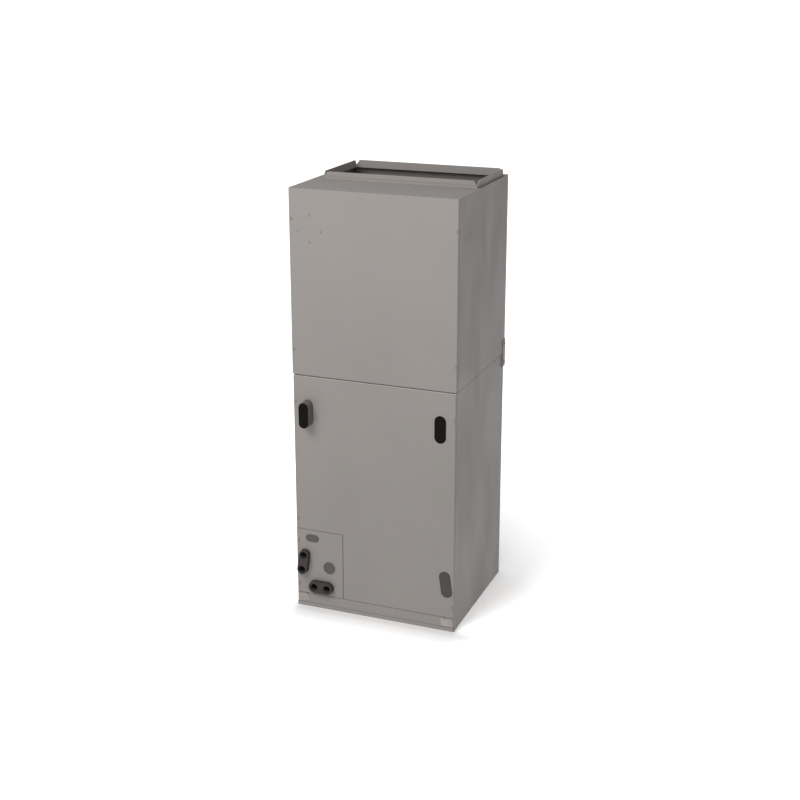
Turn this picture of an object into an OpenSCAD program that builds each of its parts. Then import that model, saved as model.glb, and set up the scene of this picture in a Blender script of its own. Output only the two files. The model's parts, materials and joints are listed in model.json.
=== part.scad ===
// Two-section upright air handler: a fan section on a coil section, with a filter slot in its base.
// The origin is the middle of the return-air opening, on the floor. X is right, Y is back, Z is up.

/* [Cabinet] */
// Width of the fan section
cab_w = 536; // [520:4:600]
// Depth of the cabinet, from the front panels to the back
cab_d = 470; // [460:5:540]
// Height of the coil section
coil_h = 777; // [760:5:860]
// Height of the fan section
fan_h = 577; // [560:5:660]
// Thickness of the sheet steel
sheet = 1.2; // [0.8:0.1:1.5]
// Outer bend radius of the casing corners
bend_r = 3; // [2.5:0.5:6]
// Set-in of the coil section on each side of the fan section
section_step = 2; // [1:0.5:4]
// Thickness of the foam gasket between the sections
gasket_t = 3; // [2:0.5:5]
// Width of the flange that the casings turn in behind the front panels
front_lip = 12; // [10:1:14]
// Width of the other inward flanges of the casings
inner_lip = 16; // [12:1:20]
// Thickness of the insulation on the casing walls
liner_t = 12; // [8:1:13]
// Thickness of the insulation on the access panels
pad_t = 8; // [4:1:10]

/* [Duct flanges] */
// Ledge of deck left of the supply opening
supply_left = 35; // [33:1:60]
// Ledge of deck right of the supply opening
supply_right = 9; // [8:1:40]
// Depth of the supply opening in the deck
supply_d = 250; // [200:5:255]
// Ledge of deck behind the supply opening
supply_back = 34; // [32:1:45]
// Height of the bent-up duct flanges
duct_h = 22; // [18:1:40]
// Height of the fold along the top of each duct flange
hem_h = 13; // [8:1:14]

/* [Front panels] */
// Gap between neighbouring panels
panel_gap = 1.5; // [1:0.1:2.5]
// Height of the base rail below the filter panel
rail_h = 12.5; // [12:0.5:14]
// Height of the line between the filter panel and the coil panel
strip_z = 45.5; // [45:0.5:52]
// Width of the fittings panel
fittings_w = 161; // [156:1:175]
// Height of the fittings panel's top edge
fittings_top = 267; // [262:1:290]
// Depth of the folded edges of the panels
fold_d = 6; // [5:0.5:10]
// Outer bend radius of the panels' upright edges
panel_r = 3; // [2:0.5:4.5]
// Inset of the panel screws from the panel edges
screw_inset = 6; // [5:0.5:7]

/* [Drain ports] */
// Radius of the round ends of the side drain bosses
port_r = 16; // [15:0.5:17]
// Half the distance between the two holes of a side boss
port_gap = 25; // [22:1:27]
// Radius of the drain pipe threads
thread_r = 12.1; // [10:0.1:12.5]
// Distance of the upper side ports from the panel's edge
port_hi_in = 49; // [44:1:56]
// Distance of the upper side ports below the top of the coil section
port_hi_drop = 117; // [97:5:177]
// Distance of the lower side ports from the panel's edge
port_lo_in = 27; // [26:1:30]
// Height of the lower side ports
port_lo_z = 157; // [152:1:162]
// Lean of the lower side ports
port_lean = 8; // [0:1:9]
// Reach of the upper side boss past the panel
port_hi_out = 33; // [10:1:40]
// Reach of the lower side boss past the panel
port_lo_out = 17; // [10:1:30]
// Radius of the round ends of the main pan's boss
pan_port_r = 19; // [17:0.5:20]
// Half the distance between the main pan's two drain holes
pan_port_gap = 22; // [19:1:24]
// Distance of the main pan's boss from the panel's left edge
pan_port_in = 86; // [82:1:90]
// Reach of the main pan's boss past the panel
pan_port_out = 15; // [8:1:25]

/* [Refrigerant lines] */
// Radius of the suction line
suction_r = 9.5; // [8:0.1:11]
// Radius of the liquid line
liquid_r = 4.8; // [4:0.1:6]
// Height of the suction connection
suction_z = 145; // [140:1:150]
// Distance of the liquid connection from the panel's left edge
liquid_in = 55; // [52:1:58]
// Height of the liquid connection
liquid_z = 239; // [234:1:242]
// Radius of the suction line's plug
suction_plug_r = 20; // [17:0.5:22]
// Radius of the round ends of the liquid line's plug
liquid_plug_r = 12; // [10:0.5:13]
// Half the length of the straight part of the liquid line's plug
liquid_plug_gap = 10.5; // [6:0.5:12]

/* [Coil] */
// Length of each coil slab, from the pan to the apex
slab_l = 520; // [500:5:530]
// Thickness of each coil slab
slab_t = 54; // [50:1:56]
// Half the gap between the tops of the slabs
apex_gap = 6.2; // [5:0.1:10]
// Distance of the slabs' feet from the sides of the pan
slab_in = 37.8; // [36:0.2:40]
// Front of the finned part
slab_y0 = -165; // [-165:1:-150]
// Back of the finned part
slab_y1 = 185; // [170:1:187]
// Pitch of the tubes along a slab
tube_pitch = 25.4; // [25:0.1:26]
// Outside radius of the coil tubes
tube_r = 4.8; // [4:0.1:5.5]
// Height of the main drain pan
pan_h = 36; // [30:1:37]
// Wall of the drain pans
pan_t = 3; // [2:0.5:4]
// Width of the main pan's troughs, under the slabs
trough_w = 110; // [105:1:130]

/* [Filter] */
// Thickness of the filter
filter_t = 20; // [18:0.5:21]
// Width of the filter's board frame
filter_rim = 14; // [10:1:20]
// Side play of the filter in its tracks
filter_play = 1.5; // [0.6:0.1:3]

/* [Blower] */
// Outer radius of the blower wheel
wheel_r = 127; // [110:1:128]
// Width of the blower wheel
wheel_w = 200; // [160:2:204]
// Depth of the blades, measured along the radius
blade_d = 22; // [16:1:26]
// Number of blades around the wheel
blade_count = 36; // [24:1:44]
// Width of the blower housing
housing_w = 232; // [224:1:240]
// Height of the blower deck above the bottom of the fan section
blower_deck_z = 380; // [372:1:400]
// Distance of the wheel axis below the blower deck
axis_drop = 170; // [160:1:180]
// Wheel axis, behind the middle of the cabinet
axis_y = 10; // [5:1:15]
// Radius of the motor
motor_r = 65; // [50:1:75]
// Length of the motor
motor_l = 130; // [90:1:140]
// Radius of the motor shaft
shaft_r = 6.35; // [5:0.05:8]

/* [Hidden] */
$fn = 48;

// Clearances
seat = 0.3;
bearing_play = 0.05;
hole_play = 1;
cut = 1;

// Planes of the cabinet
y_front = -cab_d / 2;
y_case = y_front + fold_d + seat;
y_back = cab_d / 2;
coil_w = cab_w - 2 * section_step;
y_coil_back = y_back - section_step;
z_seam = coil_h + gasket_t;
z_deck = z_seam + fan_h;
fan_in = cab_w / 2 - sheet;
coil_in = coil_w / 2 - sheet;
fan_clear = fan_in - seat - liner_t;
coil_clear = coil_in - seat - liner_t;
y_fan_clear = y_back - sheet - seat - liner_t;
y_coil_clear = y_coil_back - sheet - seat - liner_t;
y_lip = y_case + sheet;
y_pad = y_front + sheet + pad_t;
y_inside = y_lip + pad_t + 1.5;
screw_l = fold_d + sheet + 3.5;
y_liner = y_front + screw_l + 1.5;
supply_y1 = y_back - supply_back;
supply_y0 = supply_y1 - supply_d;
supply_w = cab_w - supply_left - supply_right;
supply_x = (supply_left - supply_right) / 2;
port_hi_x = coil_w / 2 - port_hi_in;
port_hi_z = coil_h - port_hi_drop;
port_lo_x = coil_w / 2 - port_lo_in;
pan_port_x = coil_w / 2 - pan_port_in;
liquid_x = coil_w / 2 - liquid_in;

// Supply deck header, sills and rails at the front
header_h = 32;
sill_h = 26;
sill_d = 18;

// Return opening in the base
return_x = coil_w / 2 - 28;
return_y0 = y_case + 32;
return_y1 = y_coil_back - 30;
collar_h = 8;

// Filter tracks and filter
track_z = rail_h + 0.8;
track_w = 22;
filter_z = track_z + sheet + seat;
track_top = filter_z + filter_t + 1;
filter_x = coil_in - sheet - filter_play;
filter_y0 = y_case + 6;
filter_y1 = y_coil_back - sheet - 8;
pleats = 24;
pleat_wall = 1;

// Front rail, pan rails and main drain pan
rail_z0 = track_top + sheet + 0.7;
rail_z1 = 62;
pan_x = coil_clear - 2.5;
throat_x = pan_x - trough_w;
pan_rail_w = 62;
pan_y0 = slab_y0 - 46;
pan_y1 = y_coil_clear - 4;
throat_y0 = slab_y0 + 5;
throat_y1 = slab_y1 - 7;
pan_floor = rail_z1 + pan_t;
pan_top = rail_z1 + pan_h;
pan_port_z = pan_floor + 11;
pan_wall_x0 = -pan_port_x - pan_port_gap - pan_port_r - 3;
pan_wall_x1 = -pan_port_x + pan_port_gap + pan_port_r + 3;

// Coil slabs: a place on a slab is s along it from the pan and u square to it, outward
slab_x0 = pan_x - slab_t / 2 - slab_in;
slab_lean = asin((slab_x0 - slab_t / 2 - apex_gap) / slab_l);
slab_z0 = pan_floor + slab_t / 2 * sin(slab_lean) + 5;
sheet_rim = 4;
row_u = 11;
tubes = floor((slab_l - 24) / tube_pitch / 2) * 2;
tube_s0 = (slab_l - (tubes - 1) * tube_pitch) / 2;
bend_leg = 6;
y_sheet_front = slab_y0 - sheet;
y_sheet_back = slab_y1 + sheet;
y_header = slab_y0 - 38;
y_liquid = y_header - suction_r - liquid_r - 1;
function slab_x(s, u) = slab_x0 - s * sin(slab_lean) + u * cos(slab_lean);
function slab_z(s, u) = slab_z0 + s * cos(slab_lean) + u * sin(slab_lean);
function tube_s(i) = tube_s0 + i * tube_pitch;
apex_z = slab_z(slab_l, 0) - slab_x(slab_l, 0) * tan(slab_lean) + seat;
suction_s = (suction_z - slab_z0 + row_u * sin(slab_lean)) / cos(slab_lean);
suction_x = slab_x(suction_s, -row_u);
cross_s = suction_s + 28;
cross_r = suction_r - 1.5;

// Expansion valve and distributor, on the middle of the coil's front
valve_x = -62;
valve_r = 13;
liquid_run = 16;
valve_z0 = liquid_z - 14;
valve_z1 = liquid_z + 26;
nut_l = 7;
nut_r = 8;
dist_r = 7;
y_valve = y_header + 1;
dist_z = valve_z1 + 46;
feeder_r = 2.4;

// Side drain pan
side_pan_x = coil_clear - seat;
side_pan_z0 = pan_top + 3;
side_pan_z1 = port_hi_z + port_gap + port_r + 14;
side_pan_y0 = pan_y0 + 5;
side_pan_y1 = y_coil_clear - 8;
side_pan_low = port_lo_x - port_gap * sin(port_lean) - port_r;
side_pan_high = port_hi_x - port_r - 3;
side_pan_rim = 22;
side_wall_z0 = port_lo_z + port_gap + port_r;
side_wall_z1 = port_hi_z - port_gap - port_r;

// Blower
z_bdeck = z_seam + blower_deck_z;
axis_z = z_bdeck - axis_drop;
deck_flange = 20;
wheel_in = wheel_r - blade_d;
inlet_r = wheel_in - 1;
inlet_lip = 8;
ring_t = 3;
scroll_open = 1.08;
scroll_grow = 0.5;
cutoff_a = 70;
metal = 1;
function scroll_r(a) = wheel_r * (scroll_open + scroll_grow * (a - cutoff_a) / (360 - cutoff_a));
cutoff_y = axis_y + scroll_r(cutoff_a) * cos(cutoff_a);
cutoff_z = axis_z + scroll_r(cutoff_a) * sin(cutoff_a);
rear_y = axis_y + scroll_r(360);
housing_x = housing_w / 2;
motor_x0 = 35;
band_x = housing_x + 10;
band_w = 20;
band_t = 2;
arm_w = 18;
arm_out = inlet_r + 24;

// Control compartment
plate_y = supply_y0 - 9;
plate_x = fan_clear - seat;
heater_left = 214.2;
heater_right = 74.2;
heater_w = 2 * plate_x - heater_left - heater_right;
heater_h = 100;
heater_x = (heater_left - heater_right) / 2;
heater_z = z_bdeck + 106;
board_z = z_bdeck + 122;
board_w = 110;
board_in = 69.2;
board_x = board_in + board_w / 2 - plate_x;
board_h = 84;
board_off = 8;
wire_r = 4;
wire_x = housing_x + 74;
wire_y = plate_y - 26;

// Screws
head_r = 4.6;
hex_r = 4;
shank_r = 1.9;
screw_hole = 2.2;
blower_screw_at = [for (sx = [-1, 1], z = [z_seam + 80, z_deck - 92])
    [sx * (cab_w / 2 - screw_inset), z]];
coil_screw_x = coil_w / 2 - screw_inset;
coil_screw_at = [[-coil_screw_x, coil_h - 84], [coil_screw_x, coil_h - 84],
    [-coil_screw_x, fittings_top + 36], [coil_screw_x, strip_z + 35]];
fittings_screw_at = [[-coil_screw_x, fittings_top - 42], [-coil_screw_x, strip_z + 30]];
latch_w = 38;
latch_x = coil_w / 2 - 4 - latch_w / 2;
filter_screw_at = [for (sx = [-1, 1]) [sx * (latch_x - latch_w / 2 + 8), rail_z0 + 3]];
bracket_t = 2.5;
bracket_h = 90;
bracket_side = 26;
bracket_back = 60;

module rounded_rect(x0, x1, y0, y1, r) {
    translate([x0, y0 + r]) square([x1 - x0, y1 - y0 - 2 * r]);
    translate([x0 + r, y0]) square([x1 - x0 - 2 * r, y1 - y0]);
    for (x = [x0 + r, x1 - r], y = [y0 + r, y1 - r]) translate([x, y]) circle(r = r);
}

module stadium(half_gap, r) {
    translate([-r, -half_gap]) square([2 * r, 2 * half_gap]);
    for (y = [-half_gap, half_gap]) translate([0, y]) circle(r = r);
}

// A drawing in X and Z, pushed along Y
module along_y(y0, y1) {
    translate([0, y1, 0]) rotate([90, 0, 0]) linear_extrude(y1 - y0) children();
}

// A drawing in Y and Z, pushed along X
module along_x(x0, x1) {
    translate([x0, 0, 0]) rotate([90, 0, 90]) linear_extrude(x1 - x0) children();
}

module block(x0, x1, y0, y1, z0, z1) {
    translate([x0, y0, z0]) cube([x1 - x0, y1 - y0, z1 - z0]);
}

module both_sides() {
    children();
    mirror([1, 0, 0]) children();
}

module on_side(side) {
    if (side < 0) mirror([1, 0, 0]) children();
    else children();
}

// The frame of one coil slab: X is u, Z is s
module on_slab(side) {
    on_side(side) translate([slab_x0, 0, slab_z0]) rotate([0, -slab_lean, 0]) children();
}

// A pipe through a list of places, with a small ball at each bend
module pipe(points, r) {
    for (i = [0 : len(points) - 2]) {
        a = points[i];
        d = points[i + 1] - a;
        translate(a) rotate([0, acos(d[2] / norm(d)), atan2(d[1], d[0])])
            cylinder(r = r, h = norm(d), $fn = 24);
    }
    for (i = [1 : 1 : len(points) - 2]) translate(points[i]) sphere(r = r * 1.08, $fn = 24);
}

// A tube through a list of places, which turns square corners only, each with a round bend
module bent_tube(points, r, bend) {
    last = len(points) - 1;
    function leg(i) = norm(points[i + 1] - points[i]);
    function way(i) = (points[i + 1] - points[i]) / leg(i);
    function room(i) = leg(i) * (i == 0 || i == last - 1 ? 1 : 0.5) - 0.5;
    function bend_at(i) = i == 0 || i == last ? 0 : min(bend, room(i - 1), room(i));
    for (i = [0 : last - 1]) translate(points[i] + way(i) * bend_at(i))
        rotate([0, acos(way(i)[2]), atan2(way(i)[1], way(i)[0])])
            cylinder(r = r, h = leg(i) - bend_at(i) - bend_at(i + 1), $fn = 32);
    for (i = [1 : last - 1]) {
        x = -way(i);
        y = way(i - 1);
        z = cross(x, y);
        c = points[i] - (x + y) * bend_at(i);
        multmatrix([[x[0], y[0], z[0], c[0]], [x[1], y[1], z[1], c[1]], [x[2], y[2], z[2], c[2]],
            [0, 0, 0, 1]]) rotate_extrude(angle = 90, $fn = 48)
            translate([bend_at(i), 0]) circle(r = r, $fn = 32);
    }
}

// A hex washer-head screw that points along +Z, with its head on the plane Z = 0
module screw(length) {
    cylinder(r = head_r, h = 0.8, $fn = 24);
    cylinder(r = hex_r, h = 3, $fn = 6);
    translate([0, 0, -length]) cylinder(r = shank_r, h = length + 0.4, $fn = 16);
}

// Screws and their holes through the front panels
module front_screws(places) {
    for (p = places) translate([p[0], y_front, p[1]]) rotate([90, 0, 0]) screw(screw_l);
}

module front_holes(places) {
    for (p = places) translate([p[0], y_front - 2, p[1]]) rotate([-90, 0, 0])
        cylinder(r = screw_hole, h = screw_l + 3, $fn = 16);
}

// A front panel: a sheet with its edges folded back, and round upright edges
module tray_block(x0, x1, z0, z1, inset) {
    r = panel_r - inset;
    translate([0, 0, z0 + inset]) linear_extrude(z1 - z0 - 2 * inset) {
        translate([x0 + inset, y_front + panel_r]) square([x1 - x0 - 2 * inset, fold_d - panel_r + inset]);
        translate([x0 + panel_r, y_front + inset]) square([x1 - x0 - 2 * panel_r, fold_d]);
        for (x = [x0 + panel_r, x1 - panel_r]) translate([x, y_front + panel_r]) circle(r = r);
    }
}

module tray(x0, x1, z0, z1) {
    difference() {
        tray_block(x0, x1, z0, z1, 0);
        tray_block(x0, x1, z0, z1, sheet);
    }
}

// Outline of a side drain port
module side_port(side, low, grow) {
    x = low ? port_lo_x : port_hi_x;
    z = low ? port_lo_z : port_hi_z;
    translate([side * x, z]) rotate(low ? side * port_lean : 0) stadium(port_gap, port_r + grow);
}

module pan_port(grow) {
    translate([-pan_port_x, pan_port_z]) rotate(90) stadium(pan_port_gap, pan_port_r + grow);
}

module liquid_outline(grow) {
    translate([-liquid_x, liquid_z]) rotate(90) stadium(liquid_plug_gap, liquid_plug_r + grow);
}

// A folded wall around the sides and back, with a lip behind the front panels
module folded_wall(w, y1) {
    inner_r = bend_r - sheet;
    difference() {
        rounded_rect(-w / 2, w / 2, y_case, y1, bend_r);
        rounded_rect(sheet - w / 2, w / 2 - sheet, y_lip, y1 - sheet, inner_r);
        translate([front_lip - w / 2, y_case - cut]) square([w - 2 * front_lip, sheet + 2 * cut]);
    }
}

// An inward flange on the sides and back, notched at the back corners, where it is folded
module inward_flange(w, y1) {
    notch = inner_lip + 1;
    difference() {
        rounded_rect(-w / 2, w / 2, y_case, y1, bend_r);
        translate([inner_lip - w / 2, y_case - cut])
            square([w - 2 * inner_lip, y1 - inner_lip - y_case + cut]);
        for (x = [-w / 2 - cut, w / 2 - notch]) translate([x, y1 - notch])
            square([notch + cut, notch + cut]);
    }
}

module liner(half_w, y1, z0, z1) {
    translate([0, 0, z0]) linear_extrude(z1 - z0) difference() {
        rounded_rect(-half_w, half_w, y_liner, y1, bend_r);
        translate([liner_t - half_w, y_liner - cut])
            square([2 * (half_w - liner_t), y1 - liner_t - y_liner + cut]);
    }
}

// Round blanks that an electrician may knock out of the right-hand wall
knockout_at = [[y_front + 61, z_deck - 128, 14], [y_front + 96, z_deck - 118, 9]];
module knockout_grooves() {
    for (k = knockout_at) translate([cab_w / 2 - 0.4, k[0], k[1]]) rotate([0, 90, 0]) difference() {
        cylinder(r = k[2] + 0.6, h = cut, $fn = 32);
        translate([0, 0, -cut]) cylinder(r = k[2] - 0.6, h = 3 * cut, $fn = 32);
    }
}

module at_bracket_screws() {
    both_sides() for (z = [z_seam - bracket_h / 3, z_seam + bracket_h / 3]) {
        translate([cab_w / 2 + bracket_t, y_back - bracket_side / 2, z]) rotate([0, 90, 0]) children();
        translate([cab_w / 2 - bracket_back / 2, y_back + bracket_t, z]) rotate([-90, 0, 0]) children();
    }
}

module bracket_holes(r, depth) {
    at_bracket_screws() translate([0, 0, -depth]) cylinder(r = r, h = depth + cut, $fn = 16);
}

module fan_casing() {
    color([0.57, 0.55, 0.53]) difference() {
        union() {
            translate([0, 0, z_seam]) linear_extrude(fan_h - sheet) folded_wall(cab_w, y_back);
            translate([0, 0, z_seam]) linear_extrude(sheet) inward_flange(cab_w, y_back);
        }
        front_holes(blower_screw_at);
        bracket_holes(screw_hole, bracket_t + sheet + cut);
        knockout_grooves();
    }
}

module coil_casing() {
    color([0.56, 0.54, 0.52]) difference() {
        union() {
            translate([0, 0, sheet]) linear_extrude(coil_h - sheet) folded_wall(coil_w, y_coil_back);
            translate([0, 0, coil_h - sheet]) linear_extrude(sheet) inward_flange(coil_w, y_coil_back);
        }
        block(-coil_in, coil_in, y_case - cut, y_lip + cut, 0, rail_z1 - 2);
        along_y(y_case - cut, y_lip + cut) for (side = [-1, 1]) side_port(side, true, hole_play + 1);
        front_holes(coil_screw_at);
        front_holes(fittings_screw_at);
        bracket_holes(screw_hole, bracket_t + section_step + sheet + cut);
    }
}

// One duct flange, standing on the deck along X and folded down on its outer side
module duct_flange(length) {
    low = duct_h - hem_h;
    half = length / 2 - 0.5;
    top = length / 2 - hem_h * 0.75;
    rotate([90, 0, 0]) linear_extrude(sheet) polygon([[-half, 0], [half, 0],
        [half, low], [top, duct_h], [-top, duct_h], [-half, low]]);
    translate([0, -sheet - 0.4, low]) rotate([90, 0, 0]) linear_extrude(sheet)
        polygon([[-half, 0], [half, 0], [top, hem_h], [-top, hem_h]]);
    translate([-top, -2 * sheet - 0.4, duct_h]) cube([2 * top, 2 * sheet + 0.4, 0.8]);
}

module top_deck() {
    mid_y = (supply_y0 + supply_y1) / 2;
    color([0.58, 0.56, 0.54]) {
        difference() {
            union() {
                translate([0, 0, z_deck - sheet]) linear_extrude(sheet)
                    rounded_rect(-cab_w / 2, cab_w / 2, y_case, y_back, bend_r);
                block(front_lip + 0.5 - cab_w / 2, cab_w / 2 - front_lip - 0.5, y_case, y_lip,
                    z_deck - header_h, z_deck);
            }
            block(supply_x - supply_w / 2, supply_x + supply_w / 2, supply_y0, supply_y1,
                z_deck - 2 * sheet, z_deck + cut);
        }
        translate([supply_x, supply_y0, z_deck]) duct_flange(supply_w);
        translate([supply_x, supply_y1, z_deck]) rotate([0, 0, 180]) duct_flange(supply_w);
        for (side = [-1, 1]) translate([supply_x + side * supply_w / 2, mid_y, z_deck])
            rotate([0, 0, side * 90]) duct_flange(supply_d);
    }
}

module base_frame() {
    side_x = coil_in - seat;
    back_y = y_coil_back - sheet - seat;
    color([0.55, 0.53, 0.51]) difference() {
        union() {
            block(-coil_w / 2, coil_w / 2, y_front, y_coil_back, 0, sheet);
            block(-coil_w / 2, coil_w / 2, y_front, y_front + sheet, 0, rail_h);
            linear_extrude(rail_h) difference() {
                rounded_rect(-side_x, side_x, y_lip, back_y, bend_r);
                translate([sheet - side_x, y_lip - cut])
                    square([2 * (side_x - sheet), back_y - sheet - y_lip + cut]);
            }
            block(-return_x - sheet, return_x + sheet, return_y0 - sheet, return_y1 + sheet, 0, collar_h);
        }
        block(-return_x, return_x, return_y0, return_y1, -cut, collar_h + cut);
    }
}

// A channel across the front, behind the casing lips
module front_channel(half_w, z0, z1, leg_z) {
    block(-half_w, half_w, y_lip, y_lip + sheet, z0, z1);
    block(-half_w, half_w, y_lip, y_lip + sill_d, leg_z, leg_z + sheet);
}

module fan_sill() {
    color([0.68, 0.69, 0.70]) front_channel(fan_in - inner_lip - 1, z_seam, z_seam + sill_h, z_seam);
}

module coil_header() {
    color([0.68, 0.69, 0.70])
        front_channel(coil_in - inner_lip - 1, coil_h - sill_h, coil_h, coil_h - sheet);
}

module panel_rail() {
    color([0.68, 0.69, 0.70]) difference() {
        front_channel(coil_in - bend_r, rail_z0, rail_z1, rail_z1 - sheet);
        along_y(y_front, y_lip + sill_d + cut) pan_port(hole_play);
        front_holes(filter_screw_at);
    }
}

module section_gasket() {
    edge = 4;
    band = 11;
    color([0.12, 0.12, 0.12]) translate([0, 0, coil_h]) linear_extrude(gasket_t) difference() {
        translate([edge - coil_w / 2, y_case + edge])
            square([coil_w - 2 * edge, y_coil_back - y_case - 2 * edge]);
        translate([edge + band - coil_w / 2, y_case + edge + band])
            square([coil_w - 2 * (edge + band), y_coil_back - y_case - 2 * (edge + band)]);
    }
}

// Outline of a bracket around the back corner of a casing that is inset by step
module corner_band(step) {
    x = cab_w / 2;
    gap = 0.1;
    intersection() {
        difference() {
            rounded_rect(0, x + bracket_t, 0, y_back + bracket_t, bend_r + bracket_t);
            rounded_rect(-bend_r, x - step + gap, -bend_r, y_back - step + gap, bend_r);
        }
        union() {
            translate([x - step, y_back - bracket_side]) square([2 * bracket_t + step, 2 * bracket_side]);
            translate([x - bracket_back, y_back - step]) square([2 * bracket_back, 2 * bracket_t + step]);
            translate([x - bend_r - step, y_back - bend_r - step]) square(2 * bend_r + 2 * step);
        }
    }
}

module corner_brackets() {
    color([0.56, 0.54, 0.52]) both_sides() difference() {
        union() {
            translate([0, 0, z_seam]) linear_extrude(bracket_h / 2) corner_band(0);
            translate([0, 0, z_seam - bracket_h / 2]) linear_extrude(bracket_h / 2)
                corner_band(section_step);
        }
        bracket_holes(screw_hole, bracket_t + section_step + cut);
    }
}

module cabinet_screws() {
    color([0.72, 0.72, 0.70]) at_bracket_screws() screw(bracket_t + section_step + sheet + 4);
}

module fan_insulation() {
    color([0.78, 0.78, 0.76]) difference() {
        liner(fan_in - seat, y_back - sheet - seat, z_seam + sheet, z_deck - sheet);
        bracket_holes(shank_r + 0.6, bracket_t + section_step + sheet + 6);
    }
}

module coil_insulation() {
    color([0.78, 0.78, 0.76]) difference() {
        liner(coil_in - seat, y_coil_back - sheet - seat, rail_z1, coil_h - sheet);
        along_y(y_case, side_pan_y0 + pan_t + 6) side_port(-1, true, hole_play + 1);
        bracket_holes(shank_r + 0.6, bracket_t + section_step + sheet + 6);
    }
}

module filter_tracks() {
    color([0.68, 0.69, 0.70]) both_sides() {
        block(coil_in - sheet, coil_in, y_lip + 6, filter_y1, track_z, track_top + sheet);
        block(coil_in - track_w, coil_in, y_lip + 6, filter_y1, track_z, track_z + sheet);
        block(coil_in - track_w, coil_in, y_lip + 6, filter_y1, track_top, track_top + sheet);
    }
}

module pan_rails() {
    color([0.68, 0.69, 0.70]) both_sides() {
        block(coil_in - sheet, coil_in, pan_y0 + pan_t + 1, y_coil_clear, rail_z0, rail_z1);
        block(coil_in - pan_rail_w, coil_in, pan_y0 + pan_t + 1, y_coil_clear, rail_z1 - sheet, rail_z1);
    }
}

module blower_deck() {
    half = fan_clear - seat;
    front = y_inside;
    color([0.70, 0.71, 0.72]) difference() {
        union() {
            block(-half, half, front, y_fan_clear - seat, z_bdeck, z_bdeck + sheet);
            block(-half, half, front, front + sheet, z_bdeck - deck_flange, z_bdeck + sheet);
            both_sides() block(half - sheet, half, front, y_fan_clear - seat, z_bdeck, z_bdeck + deck_flange);
        }
        block(metal - housing_x, housing_x - metal, cutoff_y, rear_y, z_bdeck - cut, z_bdeck + 2 * cut);
        translate([wire_x, wire_y, z_bdeck - 2]) cylinder(r = wire_r + 3, h = 6, $fn = 24);
    }
}

module control_plate() {
    color([0.70, 0.71, 0.72]) difference() {
        union() {
            block(sheet - plate_x, plate_x - sheet, plate_y, plate_y + sheet, z_bdeck + sheet,
                z_deck - sheet - seat);
            block(sheet - plate_x, plate_x - sheet, plate_y - 14, plate_y, z_bdeck + sheet,
                z_bdeck + 2 * sheet);
        }
        block(heater_x - heater_w / 2, heater_x + heater_w / 2, plate_y - cut, plate_y + sheet + cut,
            heater_z - heater_h / 2, heater_z + heater_h / 2);
        translate([wire_x, wire_y, z_bdeck]) cylinder(r = wire_r + 3, h = 6, $fn = 24);
    }
}

module heater_cover() {
    rim = 18;
    color([0.66, 0.67, 0.68]) {
        block(heater_x - heater_w / 2 - rim, heater_x + heater_w / 2 + rim, plate_y - sheet, plate_y,
            heater_z - heater_h / 2 - rim, heater_z + heater_h / 2 + rim);
        for (sx = [-1, 1], sz = [-1, 1]) translate([heater_x + sx * (heater_w / 2 + rim / 2),
            plate_y - sheet, heater_z + sz * (heater_h / 2 + rim / 2)]) rotate([90, 0, 0]) {
            cylinder(r = head_r, h = 0.8, $fn = 24);
            cylinder(r = hex_r, h = 3, $fn = 6);
        }
    }
}

module control_board() {
    y = plate_y - board_off;
    color([0.10, 0.35, 0.20]) {
        block(board_x - board_w / 2, board_x + board_w / 2, y - 1.6, y,
            board_z - board_h / 2, board_z + board_h / 2);
        for (sx = [-1, 1], sz = [-1, 1]) translate([board_x + sx * (board_w / 2 - 5), plate_y,
            board_z + sz * (board_h / 2 - 5)]) rotate([90, 0, 0]) cylinder(r = 3, h = board_off, $fn = 16);
        for (i = [0 : 1]) block(board_x - 42 + i * 30, board_x - 20 + i * 30, y - 18, y - 1.6,
            board_z + 4, board_z + 32);
        block(board_x + 24, board_x + 46, y - 12, y - 1.6, board_z - 30, board_z + 28);
        block(board_x - 44, board_x + 12, y - 10, y - 1.6, board_z - 34, board_z - 22);
        for (i = [0 : 3]) translate([board_x - 36 + i * 14, y - 1.6, board_z - 10])
            rotate([90, 0, 0]) cylinder(r = 4.5, h = 11, $fn = 20);
    }
}

module transformer() {
    x = board_x + board_w / 2 - 90;
    z = z_bdeck + 2 * sheet + 3 + 25;
    color([0.30, 0.30, 0.32]) {
        block(x - 24, x + 24, plate_y - 44, plate_y - 6, z - 22, z + 22);
        block(x - 36, x + 36, plate_y - 10, plate_y, z - 14, z + 14);
        block(x - 16, x + 16, plate_y - 54, plate_y - 44, z - 18, z + 18);
    }
}

module terminal_block() {
    x = board_x + board_w / 2 + 14;
    z = z_bdeck + 2 * sheet + 16;
    color([0.12, 0.12, 0.13]) {
        block(x - 34, x + 34, plate_y - 22, plate_y, z - 12, z + 12);
        for (i = [-1 : 1]) translate([x + i * 22, plate_y - 22, z]) rotate([90, 0, 0])
            cylinder(r = 5, h = 4, $fn = 20);
    }
}

module capacitor() {
    x = board_x - board_w / 2 - 32;
    z = board_z - board_h / 2;
    color([0.75, 0.76, 0.78]) {
        block(x - 24, x + 24, plate_y - 1, plate_y, z + 20, z + 38);
        translate([x, plate_y - 24, z]) linear_extrude(58) rotate(90) stadium(0.01, 23);
        translate([x, plate_y - 24, z + 20]) cylinder(r = 24, h = 18);
        for (sx = [-1, 1]) block(x + sx * 9 - 3, x + sx * 9 + 3, plate_y - 25, plate_y - 24,
            z + 58, z + 68);
    }
}

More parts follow.
